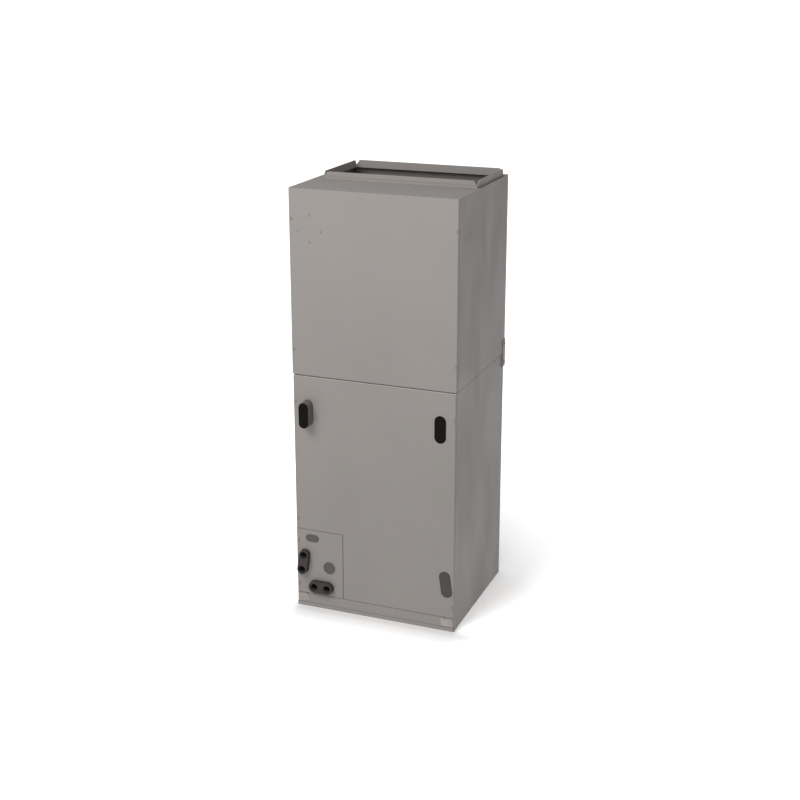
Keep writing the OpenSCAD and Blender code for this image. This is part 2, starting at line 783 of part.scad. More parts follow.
// Leads from the control board down to the motor, inside one sleeve
module wiring_harness() {
    board_y = plate_y - board_off - wire_r - 2;
    color([0.15, 0.15, 0.16]) bent_tube([[board_x + 46 + seat, board_y, board_z + 14],
        [board_x + 62, board_y, board_z + 14], [board_x + 62, wire_y, board_z + 14],
        [wire_x, wire_y, board_z + 14], [wire_x, wire_y, axis_z + 30],
        [wire_x, axis_y, axis_z + 30], [motor_x0 + motor_l + seat, axis_y, axis_z + 30]], wire_r, 18);
}

module port_threads(y0, y1) {
    along_y(y0, y1) for (s = [-1, 1]) translate([-pan_port_x + s * pan_port_gap, pan_port_z])
        circle(r = thread_r);
}

module side_port_threads(low, y0, y1) {
    x = low ? port_lo_x : port_hi_x;
    z = low ? port_lo_z : port_hi_z;
    lean = low ? -port_lean : 0;
    along_y(y0, y1) for (s = [-1, 1])
        translate([s * port_gap * -sin(lean) - x, z + s * port_gap * cos(lean)]) circle(r = thread_r);
}

module drain_pan() {
    color([0.20, 0.19, 0.18]) difference() {
        block(-pan_x, pan_x, pan_y0, pan_y1, rail_z1, pan_top);
        difference() {
            block(pan_t - pan_x, pan_x - pan_t, pan_y0 + pan_t, pan_y1 - pan_t, pan_floor, pan_top + cut);
            block(-throat_x - pan_t, throat_x + pan_t, throat_y0 - pan_t, throat_y1 + pan_t,
                rail_z1, pan_top - 4);
        }
        block(-throat_x, throat_x, throat_y0, throat_y1, rail_z1 - cut, pan_top + cut);
        block(pan_wall_x0, pan_wall_x1, pan_y0 - cut, pan_y0 + pan_t, rail_z1 - cut, pan_top + cut);
    }
}

// The main pan's boss, with the length of front wall that carries it
module drain_pan_port() {
    boss_y = y_front - pan_port_out;
    color([0.20, 0.19, 0.18]) difference() {
        union() {
            block(pan_wall_x0, pan_wall_x1, pan_y0, pan_y0 + pan_t, rail_z1, pan_top);
            along_y(boss_y, pan_y0 + pan_t) pan_port(0);
        }
        port_threads(boss_y - cut, pan_y0 + pan_t + cut);
    }
}

module side_drain_pan() {
    x = side_pan_x;
    y0 = side_pan_y0 + pan_t;
    color([0.33, 0.30, 0.28]) {
        block(-x, pan_t - x, y0, side_pan_y1, side_pan_z0, side_pan_z1);
        block(-x, pan_t - x, side_pan_y0, side_pan_y1, side_wall_z0, side_wall_z1);
        along_y(side_pan_y0, y0) polygon([[-x, side_wall_z0], [-side_pan_low, side_wall_z0],
            [-side_pan_high, side_wall_z1], [-x, side_wall_z1]]);
        block(-x, side_pan_rim - x, side_pan_y1 - pan_t, side_pan_y1, side_pan_z0, side_pan_z1);
        for (z = [side_pan_z0, side_pan_z1 - pan_t])
            block(-x, side_pan_rim - x, y0, side_pan_y1, z, z + pan_t);
    }
}

// The two ends of the side pan's front wall, each with its boss
module side_pan_ports() {
    x = side_pan_x;
    y0 = side_pan_y0;
    color([0.33, 0.30, 0.28]) difference() {
        union() {
            block(-x, -side_pan_low, y0, y0 + pan_t, side_pan_z0, side_wall_z0);
            block(-x, -side_pan_high, y0, y0 + pan_t, side_wall_z1, side_pan_z1);
            along_y(y_front - port_hi_out, y0 + pan_t) side_port(-1, false, 0);
            along_y(y_front - port_lo_out, y0 + pan_t) intersection() {
                side_port(-1, true, 0);
                translate([-x - 7, 0]) square([x, z_seam]);
            }
        }
        side_port_threads(true, y_front - port_lo_out - cut, y0 + pan_t + cut);
        side_port_threads(false, y_front - port_hi_out - cut, y0 + pan_t + cut);
    }
}

// Rubber cap that closes both holes of the upper side boss
module side_port_cap() {
    y = y_front - port_hi_out;
    color([0.05, 0.05, 0.05]) {
        along_y(y - 2.5, y) side_port(-1, false, -0.5);
        along_y(y - 0.5, y + 10) for (s = [-1, 1]) translate([-port_hi_x, port_hi_z + s * port_gap])
            circle(r = thread_r - 0.1);
    }
}

module fin_block() {
    block(-slab_t / 2, slab_t / 2, slab_y0, slab_y1, 0, slab_l);
}

module fin_block_left() {
    color([0.75, 0.77, 0.78]) on_slab(-1) fin_block();
}

module fin_block_right() {
    color([0.75, 0.77, 0.78]) on_slab(1) fin_block();
}

// The end plates reach down to the pan's floor, and carry the slabs there
module tube_sheets() {
    w = slab_t / 2 + sheet_rim;
    foot_u = slab_x(0, 0);
    color([0.70, 0.71, 0.72])
        for (side = [-1, 1], y = [[y_sheet_front, slab_y0], [slab_y1, y_sheet_back]]) {
        on_slab(side) block(-w, w, y[0], y[1], 0, slab_l);
        on_side(side) block(foot_u - 12, foot_u + 12, y[0], y[1], pan_floor, slab_z0 + 10);
    }
}

// A return bend that stands out of a tube sheet, and joins tubes i and i + 1
module return_bend(u, i, front) {
    y = front ? y_sheet_front : y_sheet_back;
    out = front ? -1 : 1;
    translate([u, y + out * bend_leg, tube_s(i) + tube_pitch / 2])
        rotate([0, -90, front ? 180 : 0]) rotate_extrude(angle = 180, $fn = 32)
            translate([tube_pitch / 2, 0]) circle(r = tube_r, $fn = 16);
    for (k = [0, 1]) translate([u, front ? y : y + bend_leg, tube_s(i + k)]) rotate([90, 0, 0])
        cylinder(r = tube_r, h = bend_leg, $fn = 16);
}

module return_bends() {
    color([0.72, 0.45, 0.30]) for (side = [-1, 1], u = [-row_u, row_u]) on_slab(side) {
        for (i = [1 : 2 : tubes - 3]) return_bend(u, i, true);
        for (i = [0 : 2 : tubes - 2]) return_bend(u, i, false);
    }
}

// A gutter that closes the gap between the tops of the slabs
module apex_plate() {
    out_x = slab_x(slab_l, slab_t / 2) - 4;
    out_z = apex_z + out_x * tan(slab_lean);
    color([0.70, 0.71, 0.72]) along_y(y_sheet_front, y_sheet_back) polygon([[0, apex_z],
        [out_x, out_z], [out_x, out_z + 1.5], [0, apex_z + 1.5], [-out_x, out_z + 1.5],
        [-out_x, out_z]]);
}

// The wedges between the slabs, front and back, which make all the air go through the fins
module delta_plates() {
    u = -slab_t / 2 - sheet_rim - seat;
    low_s = (pan_floor - slab_z(0, u)) / cos(slab_lean);
    top_s = (apex_z - 1 - slab_z(0, u)) / cos(slab_lean);
    tip_x = max(slab_x(top_s, u), 0.5);
    for (y = [y_sheet_front, slab_y1]) color([0.70, 0.71, 0.72]) along_y(y, y + sheet)
        polygon([[-slab_x(low_s, u), pan_floor], [slab_x(low_s, u), pan_floor],
            [tip_x, apex_z - 1], [-tip_x, apex_z - 1]]);
}

// One header along the inner tube row of a slab, with its two stubs from the end tubes
module header_tube(s0, s1) {
    translate([-row_u, y_header, s0]) cylinder(r = suction_r, h = s1 - s0);
    for (i = [0, tubes - 1]) translate([-row_u, y_sheet_front, tube_s(i)]) rotate([90, 0, 0])
        cylinder(r = tube_r, h = y_sheet_front - y_header, $fn = 24);
}

module suction_header() {
    end = y_front + sheet + 5;
    color([0.72, 0.45, 0.30]) {
        for (side = [-1, 1]) on_slab(side) header_tube(tube_s(0) - 14, tube_s(tubes - 1) + 14);
        translate([-suction_x, y_header, suction_z]) rotate([90, 0, 0])
            cylinder(r = suction_r - 0.6, h = y_header - end);
        translate([-slab_x(cross_s, -row_u), y_header, slab_z(cross_s, -row_u)]) rotate([0, 90, 0])
            cylinder(r = cross_r, h = 2 * slab_x(cross_s, -row_u));
    }
}

module liquid_line() {
    end = y_front + sheet + 5;
    color([0.72, 0.45, 0.30]) {
        bent_tube([[-liquid_x, end, liquid_z], [-liquid_x, y_liquid, liquid_z],
            [valve_x - valve_r - nut_l - liquid_run, y_liquid, liquid_z],
            [valve_x - valve_r - nut_l - liquid_run, y_valve, liquid_z],
            [valve_x - valve_r - nut_l, y_valve, liquid_z]], liquid_r, 12);
    }
}

module expansion_valve() {
    color([0.75, 0.62, 0.35]) {
        translate([valve_x, y_valve, valve_z0]) cylinder(r = valve_r, h = valve_z1 - valve_z0);
        translate([valve_x, y_valve, valve_z0 - 8]) cylinder(r = 8, h = 8, $fn = 6);
        translate([valve_x, y_valve, valve_z1]) cylinder(r = 8, h = 5, $fn = 6);
        translate([valve_x, y_valve, valve_z1 + 5]) cylinder(r = 17, h = 8);
        translate([valve_x - valve_r - nut_l, y_valve, liquid_z]) rotate([0, 90, 0])
            cylinder(r = nut_r, h = valve_r + nut_l, $fn = 6);
        translate([valve_x, y_valve, liquid_z]) rotate([0, 90, 0])
            cylinder(r = liquid_r, h = -valve_x - dist_r - nut_l);
    }
}

// A brass nozzle that shares the liquid among four thin feeder tubes
module distributor() {
    x = slab_x(tube_s(0), row_u);
    z = slab_z(tube_s(0), row_u);
    top_x = slab_x(tube_s(tubes - 1), row_u);
    top_z = slab_z(tube_s(tubes - 1), row_u);
    y_pass = y_header - suction_r - feeder_r - 2.5;
    color([0.75, 0.55, 0.35]) {
        translate([0, y_valve, valve_z0 - 2]) cylinder(r = dist_r, h = dist_z - valve_z0 - 18);
        translate([-dist_r - nut_l, y_valve, liquid_z]) rotate([0, 90, 0])
            cylinder(r = nut_r, h = dist_r + nut_l, $fn = 6);
        translate([0, y_valve, dist_z - 20]) cylinder(r1 = dist_r, r2 = 12, h = 14);
        translate([0, y_valve, dist_z - 6]) cylinder(r = 12, h = 6);
        for (side = [-1, 1]) {
            pipe([[side * 5, y_valve + 4, dist_z - 1], [side * 5, y_pass, dist_z + 60],
                [side * 9, y_pass, top_z - 90], [side * top_x, y_pass, top_z - 20],
                [side * top_x, y_pass + 5, top_z], [side * top_x, y_sheet_front, top_z]], feeder_r);
            pipe([[side * 6, y_valve - 6, dist_z - 1], [side * 14, y_pass, dist_z + 24],
                [side * x / 3, y_pass, dist_z + 50], [side * (x - 33), y_pass, dist_z - 10],
                [side * (x + 6), y_header + 2, liquid_z - 20], [side * (x + 6), y_header + 4, z + 20],
                [side * x, y_header + 8, z], [side * x, y_sheet_front, z]], feeder_r);
        }
    }
}

// Inside line of the scroll, from the cutoff around to the back wall, grown outward by e
function scroll_line(e) = concat(
    [[cutoff_y - e, z_bdeck], [cutoff_y - e, cutoff_z + e]],
    [for (a = [cutoff_a + 10 : 10 : 360]) [axis_y + (scroll_r(a) + e) * cos(a),
        axis_z + (scroll_r(a) + e) * sin(a)]],
    [[rear_y + e, z_bdeck]]);
function backwards(list) = [for (i = [len(list) - 1 : -1 : 0]) list[i]];

module blower_side(side) {
    edge = 6;
    plate = side * (housing_x - metal / 2);
    color([0.71, 0.72, 0.73]) difference() {
        union() {
            along_x(plate - metal / 2, plate + metal / 2) polygon(scroll_line(edge));
            translate([side > 0 ? plate - inlet_lip : plate, axis_y, axis_z]) rotate([0, 90, 0])
                cylinder(r = inlet_r + 1.5, h = inlet_lip, $fn = 96);
        }
        translate([plate - inlet_lip - cut, axis_y, axis_z]) rotate([0, 90, 0])
            cylinder(r = inlet_r, h = 2 * inlet_lip + 2 * cut, $fn = 96);
    }
}

module blower_sides() {
    blower_side(-1);
    blower_side(1);
}

module blower_scroll() {
    color([0.71, 0.72, 0.73]) along_x(metal - housing_x, housing_x - metal)
        polygon(concat(scroll_line(0), backwards(scroll_line(metal))));
}

module blade() {
    sweep = 13;
    steps = 4;
    function lean(k) = sweep * pow(k / steps, 2);
    function mid(k) = wheel_in + 1 + (blade_d - 2) * k / steps;
    inner = [for (k = [0 : steps]) [mid(k) * cos(lean(k)), mid(k) * sin(lean(k))]];
    outer = [for (k = [steps : -1 : 0]) [mid(k) * cos(lean(k) + 0.6), mid(k) * sin(lean(k) + 0.6)]];
    polygon(concat(inner, outer));
}

// The wheel's end rings, its centre disc and hub. The disc's rim lies just inside the blades.
module blower_wheel() {
    hub_r = 16;
    half = wheel_w / 2;
    color([0.62, 0.63, 0.65]) translate([0, axis_y, axis_z]) {
        for (x = [-half, half - ring_t]) translate([x, 0, 0]) rotate([0, 90, 0]) difference() {
            cylinder(r = wheel_r, h = ring_t, $fn = 96);
            translate([0, 0, -cut]) cylinder(r = wheel_in, h = ring_t + 2 * cut, $fn = 96);
        }
        difference() {
            union() {
                translate([-1, 0, 0]) rotate([0, 90, 0])
                    cylinder(r = wheel_in + 1 - seat, h = 2, $fn = 96);
                translate([-20, 0, 0]) rotate([0, 90, 0]) cylinder(r = hub_r, h = 32);
            }
            translate([-21, 0, 0]) rotate([0, 90, 0]) cylinder(r = shaft_r + 0.02, h = 34);
        }
    }
}

// Forward-curved blades, from ring to ring
module wheel_blades() {
    half = wheel_w / 2 - ring_t;
    color([0.62, 0.63, 0.65]) translate([0, axis_y, axis_z]) for (i = [0 : blade_count - 1])
        along_x(-half, half) rotate(i * 360 / blade_count) blade();
}

module motor_shaft() {
    color([0.75, 0.75, 0.77]) translate([-24, axis_y, axis_z]) rotate([0, 90, 0])
        cylinder(r = shaft_r, h = motor_x0 + motor_l + 24 - 10);
}

module motor() {
    color([0.18, 0.18, 0.20]) translate([motor_x0, axis_y, axis_z]) rotate([0, 90, 0]) difference() {
        union() {
            cylinder(r1 = motor_r - 8, r2 = motor_r, h = 8);
            translate([0, 0, 8]) cylinder(r = motor_r, h = motor_l - 16);
            translate([0, 0, motor_l - 8]) cylinder(r1 = motor_r, r2 = motor_r - 8, h = 8);
            translate([0, 0, -5]) cylinder(r = shaft_r + 9, h = 6);
        }
        translate([0, 0, -6]) cylinder(r = shaft_r + bearing_play, h = motor_l + 6 - 8);
    }
}

module motor_mount() {
    color([0.70, 0.71, 0.72]) translate([0, axis_y, axis_z]) {
        translate([band_x, 0, 0]) rotate([0, 90, 0]) difference() {
            cylinder(r = motor_r + band_t, h = band_w);
            translate([0, 0, -cut]) cylinder(r = motor_r, h = band_w + 2 * cut);
        }
        for (a = [90, 210, 330]) rotate([a, 0, 0]) {
            block(band_x + 2, band_x + 5, motor_r + band_t / 2, arm_out, -arm_w / 2, arm_w / 2);
            block(housing_x, band_x + 5, arm_out - 10, arm_out, -arm_w / 2, arm_w / 2);
        }
    }
}

module blower_panel() {
    dimple_at = [[68, 79], [29, 128], [104, 127], [68, 161]];
    color([0.60, 0.58, 0.56]) difference() {
        tray(seat - cab_w / 2, cab_w / 2 - seat, z_seam + panel_gap / 2, z_deck - 0.4);
        for (d = dimple_at) translate([d[0] - cab_w / 2, y_front + 0.4, z_deck - d[1]])
            rotate([90, 0, 0]) cylinder(r = 5, h = cut, $fn = 24);
        front_holes(blower_screw_at);
    }
}

module blower_panel_pad() {
    in_x = cab_w / 2 - front_lip - 2;
    color([0.78, 0.78, 0.76]) block(-in_x, in_x, y_front + sheet, y_pad,
        z_seam + sill_h + 3, z_deck - header_h - 3);
}

module blower_panel_screws() {
    color([0.60, 0.59, 0.57]) front_screws(blower_screw_at);
}

fittings_x = fittings_w - coil_w / 2;
coil_panel_top = coil_h - 0.8;
filter_panel_z0 = rail_h + 1;
filter_panel_z1 = strip_z - panel_gap / 2;
module coil_panel() {
    x = coil_w / 2 - seat;
    z0 = strip_z + panel_gap / 2;
    notch_x = fittings_x + panel_gap / 2;
    notch_z = fittings_top + panel_gap / 2;
    color([0.58, 0.56, 0.54]) difference() {
        tray_block(-x, x, z0, coil_panel_top, 0);
        difference() {
            tray_block(-x, x, z0, coil_panel_top, sheet);
            block(-coil_w, notch_x + sheet, y_front, y_case, 0, notch_z + sheet);
        }
        block(-coil_w, notch_x, y_front - cut, y_case, 0, notch_z);
        along_y(y_front - cut, y_case) {
            side_port(-1, false, hole_play);
            side_port(1, false, hole_play);
            side_port(1, true, hole_play);
        }
        front_holes(coil_screw_at);
    }
}

module coil_panel_pad() {
    in_x = coil_w / 2 - front_lip - 2;
    color([0.78, 0.78, 0.76]) difference() {
        block(-in_x, in_x, y_front + sheet, y_pad, rail_z1 + 4, coil_h - sill_h - 3);
        block(-coil_w, fittings_x + 8, y_front, y_pad + cut, 0, fittings_top + 8);
        along_y(y_front, y_pad + cut) {
            side_port(-1, false, 5);
            side_port(1, false, 5);
            side_port(1, true, 5);
        }
    }
}

module coil_panel_screws() {
    color([0.60, 0.59, 0.57]) front_screws(coil_screw_at);
}

// A plug in a spare port hole of the coil panel: a thin flange outside, a body through the sheet
module port_plug(low, proud) {
    along_y(y_front - proud, y_front) side_port(1, low, hole_play + 1);
    along_y(y_front - proud, y_front + sheet + 5) side_port(1, low, hole_play - 0.2);
}

module port_plug_upper() {
    color([0.04, 0.04, 0.04]) port_plug(false, 1.5);
}

module port_plug_lower() {
    color([0.27, 0.25, 0.24]) port_plug(true, 1.5);
}

module fittings_panel() {
    color([0.58, 0.56, 0.54]) difference() {
        tray(seat - coil_w / 2, fittings_x - panel_gap / 2, strip_z + panel_gap / 2,
            fittings_top - panel_gap / 2);
        along_y(y_front - cut, y_case) {
            side_port(-1, true, hole_play);
            pan_port(hole_play);
            liquid_outline(-2);
            translate([-suction_x, suction_z]) circle(r = suction_plug_r - 3);
        }
        front_holes(fittings_screw_at);
    }
}

module fittings_screws() {
    color([0.60, 0.59, 0.57]) front_screws(fittings_screw_at);
}

module liquid_plug() {
    color([0.42, 0.39, 0.37]) {
        along_y(y_front - 1.5, y_front) liquid_outline(0);
        along_y(y_front - 1.5, y_front + sheet + 3) liquid_outline(-2.2);
    }
}

module suction_plug() {
    color([0.42, 0.39, 0.37]) translate([-suction_x, y_front + sheet + 3, suction_z]) rotate([90, 0, 0]) {
        cylinder(r = suction_plug_r - 3.2, h = sheet + 4.5);
        translate([0, 0, sheet + 3]) cylinder(r = suction_plug_r, h = 1.5);
    }
}

// A strip over the filter slot
module filter_panel() {
    color([0.60, 0.58, 0.56]) difference() {
        tray(seat - coil_w / 2, coil_w / 2 - seat, filter_panel_z0, filter_panel_z1);
        front_holes(filter_screw_at);
    }
}

// A plate at each end of the strip, with the screw that holds the strip
module filter_latches() {
    color([0.68, 0.65, 0.63]) for (side = [0, 1]) {
        difference() {
            block((2 * side - 1) * latch_x - latch_w / 2, (2 * side - 1) * latch_x + latch_w / 2,
                y_front - sheet, y_front, filter_panel_z0 + 3, filter_panel_z1 - 3);
            front_holes([filter_screw_at[side]]);
        }
        translate([filter_screw_at[side][0], y_front - sheet, filter_screw_at[side][1]])
            rotate([90, 0, 0]) screw(screw_l);
    }
}

module filter_frame() {
    color([0.80, 0.76, 0.66]) difference() {
        block(-filter_x, filter_x, filter_y0, filter_y1, filter_z, filter_z + filter_t);
        block(filter_rim - filter_x, filter_x - filter_rim, filter_y0 + filter_rim,
            filter_y1 - filter_rim, filter_z - cut, filter_z + filter_t + cut);
        block(1.5 - filter_x, filter_x - 1.5, filter_y0 + 1.5, filter_y1 - 1.5,
            filter_z + 1.5, filter_z + filter_t - 1.5);
    }
}

// Pleated paper, folded front to back inside the board frame
module filter_media() {
    x = filter_x - 2.5;
    low = filter_z + 2;
    high = filter_z + filter_t - 2 - pleat_wall;
    step = (filter_y1 - filter_y0 - 6) / pleats;
    function fold_z(k) = k % 2 == 0 ? low : high;
    under = [for (k = [0 : pleats]) [filter_y0 + 3 + k * step, fold_z(k)]];
    over = [for (k = [pleats : -1 : 0]) [filter_y0 + 3 + k * step, fold_z(k) + pleat_wall]];
    color([0.90, 0.90, 0.88]) along_x(-x, x) polygon(concat(under, over));
}

fan_casing();
coil_casing();
top_deck();
base_frame();
fan_sill();
coil_header();
panel_rail();
section_gasket();
corner_brackets();
cabinet_screws();
fan_insulation();
coil_insulation();
filter_tracks();
pan_rails();
blower_deck();
control_plate();
heater_cover();
control_board();
transformer();
terminal_block();
capacitor();
wiring_harness();
drain_pan();
drain_pan_port();
side_drain_pan();
side_pan_ports();
side_port_cap();
fin_block_left();
fin_block_right();
tube_sheets();
return_bends();
apex_plate();
delta_plates();
suction_header();
liquid_line();
expansion_valve();
distributor();
blower_sides();
blower_scroll();
motor();
motor_mount();
blower_wheel();
wheel_blades();
motor_shaft();
blower_panel();
blower_panel_pad();
blower_panel_screws();
coil_panel();
coil_panel_pad();
coil_panel_screws();
port_plug_upper();
port_plug_lower();
fittings_panel();
fittings_screws();
liquid_plug();
suction_plug();
filter_panel();
filter_latches();
filter_frame();
filter_media();
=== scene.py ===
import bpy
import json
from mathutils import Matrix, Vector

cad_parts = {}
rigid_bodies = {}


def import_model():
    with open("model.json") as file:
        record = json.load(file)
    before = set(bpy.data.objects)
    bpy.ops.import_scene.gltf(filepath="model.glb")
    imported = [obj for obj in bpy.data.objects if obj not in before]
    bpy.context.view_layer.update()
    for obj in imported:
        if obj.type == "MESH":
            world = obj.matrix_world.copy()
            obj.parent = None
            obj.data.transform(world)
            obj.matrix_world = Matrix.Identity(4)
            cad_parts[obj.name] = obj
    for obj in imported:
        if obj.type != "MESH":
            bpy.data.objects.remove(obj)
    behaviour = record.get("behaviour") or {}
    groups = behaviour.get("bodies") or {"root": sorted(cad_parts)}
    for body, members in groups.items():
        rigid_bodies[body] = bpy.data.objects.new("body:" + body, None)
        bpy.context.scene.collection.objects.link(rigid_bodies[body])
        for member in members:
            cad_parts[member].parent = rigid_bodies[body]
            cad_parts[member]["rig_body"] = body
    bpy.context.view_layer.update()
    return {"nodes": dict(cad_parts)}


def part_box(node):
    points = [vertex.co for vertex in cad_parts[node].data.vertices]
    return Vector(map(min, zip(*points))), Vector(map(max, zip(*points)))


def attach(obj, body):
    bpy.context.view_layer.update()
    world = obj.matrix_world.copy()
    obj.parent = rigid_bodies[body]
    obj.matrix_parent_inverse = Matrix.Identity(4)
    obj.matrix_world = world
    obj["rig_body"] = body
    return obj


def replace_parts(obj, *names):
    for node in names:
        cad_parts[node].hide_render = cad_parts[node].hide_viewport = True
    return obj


bl_info = {
    "name": "Air handler",
    "version": (1, 0, 0),
    "blender": (4, 5, 0),
    "location": "View3D > Sidebar > Air handler",
    "description": "Finishes and fine parts of an upright air handler in two sections",
    "category": "Object",
}

import json
import math
import random

import bmesh
import bpy
from mathutils import Matrix, Vector

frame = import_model()
cad = frame["nodes"]


# Finishes

class Finish:
    """A material in the making: its shader, and short ways to lay patterns on it."""

    def __init__(self, name):
        self.material = bpy.data.materials.new(name)
        self.material.use_nodes = True
        self.tree = self.material.node_tree
        self.shader = self.tree.nodes["Principled BSDF"]
        self.place = self.add("ShaderNodeTexCoord").outputs["Object"]

    def add(self, kind, **settings):
        node = self.tree.nodes.new(kind)
        for key, value in settings.items():
            setattr(node, key, value)
        return node

    def feed(self, socket, value):
        """Links a socket to another one, or gives it a fixed number or colour."""
        if isinstance(value, bpy.types.NodeSocket):
            self.tree.links.new(value, socket)
        elif socket.type == "RGBA":
            socket.default_value = (*value[:3], 1.0)
        else:
            socket.default_value = value

    def set(self, **values):
        """Feeds the shader's inputs, whose names have underscores for spaces here."""
        for key, value in values.items():
            self.feed(self.shader.inputs[key.replace("_", " ")], value)

    def stretched(self, scale, turn=(0, 0, 0)):
        """The place, scaled and then turned by these degrees."""
        node = self.add("ShaderNodeMapping")
        self.feed(node.inputs["Vector"], self.place)
        node.inputs["Scale"].default_value = scale
        node.inputs["Rotation"].default_value = [math.radians(a) for a in turn]
        return node.outputs["Vector"]

    def noise(self, scale, detail=2.0, place=None, distortion=0.0):
        node = self.add("ShaderNodeTexNoise")
        self.feed(node.inputs["Vector"], place or self.place)
        node.inputs["Scale"].default_value = scale
        node.inputs["Detail"].default_value = detail
        node.inputs["Distortion"].default_value = distortion
        return node.outputs["Fac"]

    def cells(self, scale, output="Distance"):
        node = self.add("ShaderNodeTexVoronoi")
        self.feed(node.inputs["Vector"], self.place)
        node.inputs["Scale"].default_value = scale
        return node.outputs[output]

    def bands(self, scale, axis, distortion=0.0):
        node = self.add("ShaderNodeTexWave", bands_direction=axis)
        self.feed(node.inputs["Vector"], self.place)
        node.inputs["Scale"].default_value = scale
        node.inputs["Distortion"].default_value = distortion
        return node.outputs["Fac"]

    def between(self, amount, low, high, from_low=0.0, from_high=1.0):
        """Low where the amount is from_low, high where it is from_high, and in between."""
        node = self.add("ShaderNodeMapRange")
        for key, value in (("Value", amount), ("From Min", from_low), ("From Max", from_high),
                           ("To Min", low), ("To Max", high)):
            self.feed(node.inputs[key], value)
        return node.outputs["Result"]

    def blend(self, amount, first, second, way="MIX"):
        node = self.add("ShaderNodeMix", data_type="RGBA", blend_type=way)
        self.feed(node.inputs["Factor"], amount)
        self.feed(node.inputs[6], first)
        self.feed(node.inputs[7], second)
        return node.outputs[2]

    def total(self, first, second, way="ADD"):
        node = self.add("ShaderNodeMath", operation=way)
        self.feed(node.inputs[0], first)
        self.feed(node.inputs[1], second)
        return node.outputs[0]

    def spot(self, axis):
        """How far along X, Y or Z the surface is."""
        node = self.add("ShaderNodeSeparateXYZ")
        self.feed(node.inputs[0], self.place)
        return node.outputs[axis]

    def near(self, points, reach, core=0.55):
        """One within the core, a share of the reach, round any of the points, and nothing beyond the reach."""
        close = 0.0
        for point in points:
            node = self.add("ShaderNodeVectorMath", operation="DISTANCE")
            self.feed(node.inputs[0], self.place)
            node.inputs[1].default_value = point
            fade = self.between(node.outputs["Value"], 1.0, 0.0, reach * core, reach)
            close = self.total(close, fade, "MAXIMUM")
        return close

    def bump(self, height, depth, under=None):
        """A normal for this height, laid over another one if given."""
        node = self.add("ShaderNodeBump")
        self.feed(node.inputs["Height"], height)
        node.inputs["Distance"].default_value = depth
        if under is not None:
            self.feed(node.inputs["Normal"], under)
        return node.outputs["Normal"]


def scaled(colour, factor):
    return tuple(min(1.0, c * factor) for c in colour)


def lifted(colour, factor, amount):
    """A colour under a film of pale dust."""
    return tuple(c * factor + amount for c in colour)


# Reach of the painted shade in a dimple, and half the height over which a panel's rim fades into its painted
# highlight
DIMPLE_SHADE_REACH = 0.0052
RIM_HIGHLIGHT_FADE = 0.0003


def powder_coat(name, colour, roughness, peel, mottle=0.035, dimples=(), rim=None):
    """Baked paint on steel: orange peel, a slow wave in the sheet, faint handling marks, painted shade in its
    dimples.

    Above the rim's height the paint is pale, a painted highlight along the folded edge."""
    f = Finish(name)
    slow = f.noise(3.1, 3.0)
    speck = f.noise(1400.0, 1.0)
    tone = f.blend(f.between(slow, 0.0, 1.0, 0.3, 0.7), scaled(colour, 1 - mottle), scaled(colour, 1 + mottle))
    tone = f.blend(f.between(speck, 0.0, 0.10, 0.52, 0.72), tone, scaled(colour, 0.80))
    if dimples:
        # Painted shade: the paint darkens round each dimple
        tone = f.blend(f.near(dimples, DIMPLE_SHADE_REACH), tone, scaled(colour, 0.78))
    if rim:
        # Painted highlight: above the rim's height the paint turns pale
        above = f.between(f.spot("Z"), 0.0, 1.0, rim - RIM_HIGHLIGHT_FADE, rim + RIM_HIGHLIGHT_FADE)
        tone = f.blend(above, tone, scaled(colour, 2.1))
    wiped = f.noise(9.0, 5.0, f.stretched((1.0, 1.0, 0.35), (0, 24, 12)), 0.6)
    f.set(Base_Color=tone, Roughness=f.between(wiped, roughness - 0.06, roughness + 0.09, 0.3, 0.7),
          Specular_IOR_Level=0.45,
          Normal=f.bump(f.noise(620.0, 2.0), peel, f.bump(f.noise(4.2, 1.0), 0.0012)))
    return f.material


def galvanised_steel(name, colour, spangle):
    """Zinc-coated sheet: crystals of different shade, rolled streaks, dull oxide in places."""
    f = Finish(name)
    crystal = f.cells(1.0 / spangle, "Color")
    grey = f.add("ShaderNodeRGBToBW")
    f.feed(grey.inputs[0], crystal)
    shade = grey.outputs[0]
    streak = f.noise(60.0, 3.0, f.stretched((1.0, 1.0, 0.06)))
    oxide = f.noise(6.0, 4.0)
    tone = f.blend(f.between(shade, 0.0, 1.0, 0.2, 0.8), scaled(colour, 0.86), scaled(colour, 1.10))
    tone = f.blend(f.between(oxide, 0.0, 0.35, 0.55, 0.75), tone, scaled(colour, 0.72))
    rough = f.total(f.between(shade, 0.30, 0.46, 0.2, 0.8), f.between(streak, -0.04, 0.06, 0.3, 0.7))
    f.set(Base_Color=tone, Metallic=0.9, Roughness=rough, Normal=f.bump(f.total(shade, streak), 0.00003))
    return f.material


def drawn_metal(name, colour, roughness, grain=(1.0, 1.0, 1.0), stain=0.7, metallic=1.0):
    """Tube, bar or turned metal: fine lines along the grain and slow staining."""
    f = Finish(name)
    lines = f.noise(900.0, 3.0, f.stretched(grain))
    cloud = f.noise(22.0, 5.0)
    tone = f.blend(f.between(cloud, 0.0, 0.75, 0.45, 0.72), colour, scaled(colour, stain))
    rough = f.total(f.between(cloud, roughness - 0.05, roughness + 0.16, 0.35, 0.7),
                    f.between(lines, -0.04, 0.04, 0.3, 0.7))
    f.set(Base_Color=tone, Metallic=metallic, Roughness=rough, Normal=f.bump(lines, 0.00003))
    return f.material


# Heights between which a piece changes to its paler upper colour, a painted highlight
HIGHLIGHT_FROM, HIGHLIGHT_TO = 0.5, 0.6


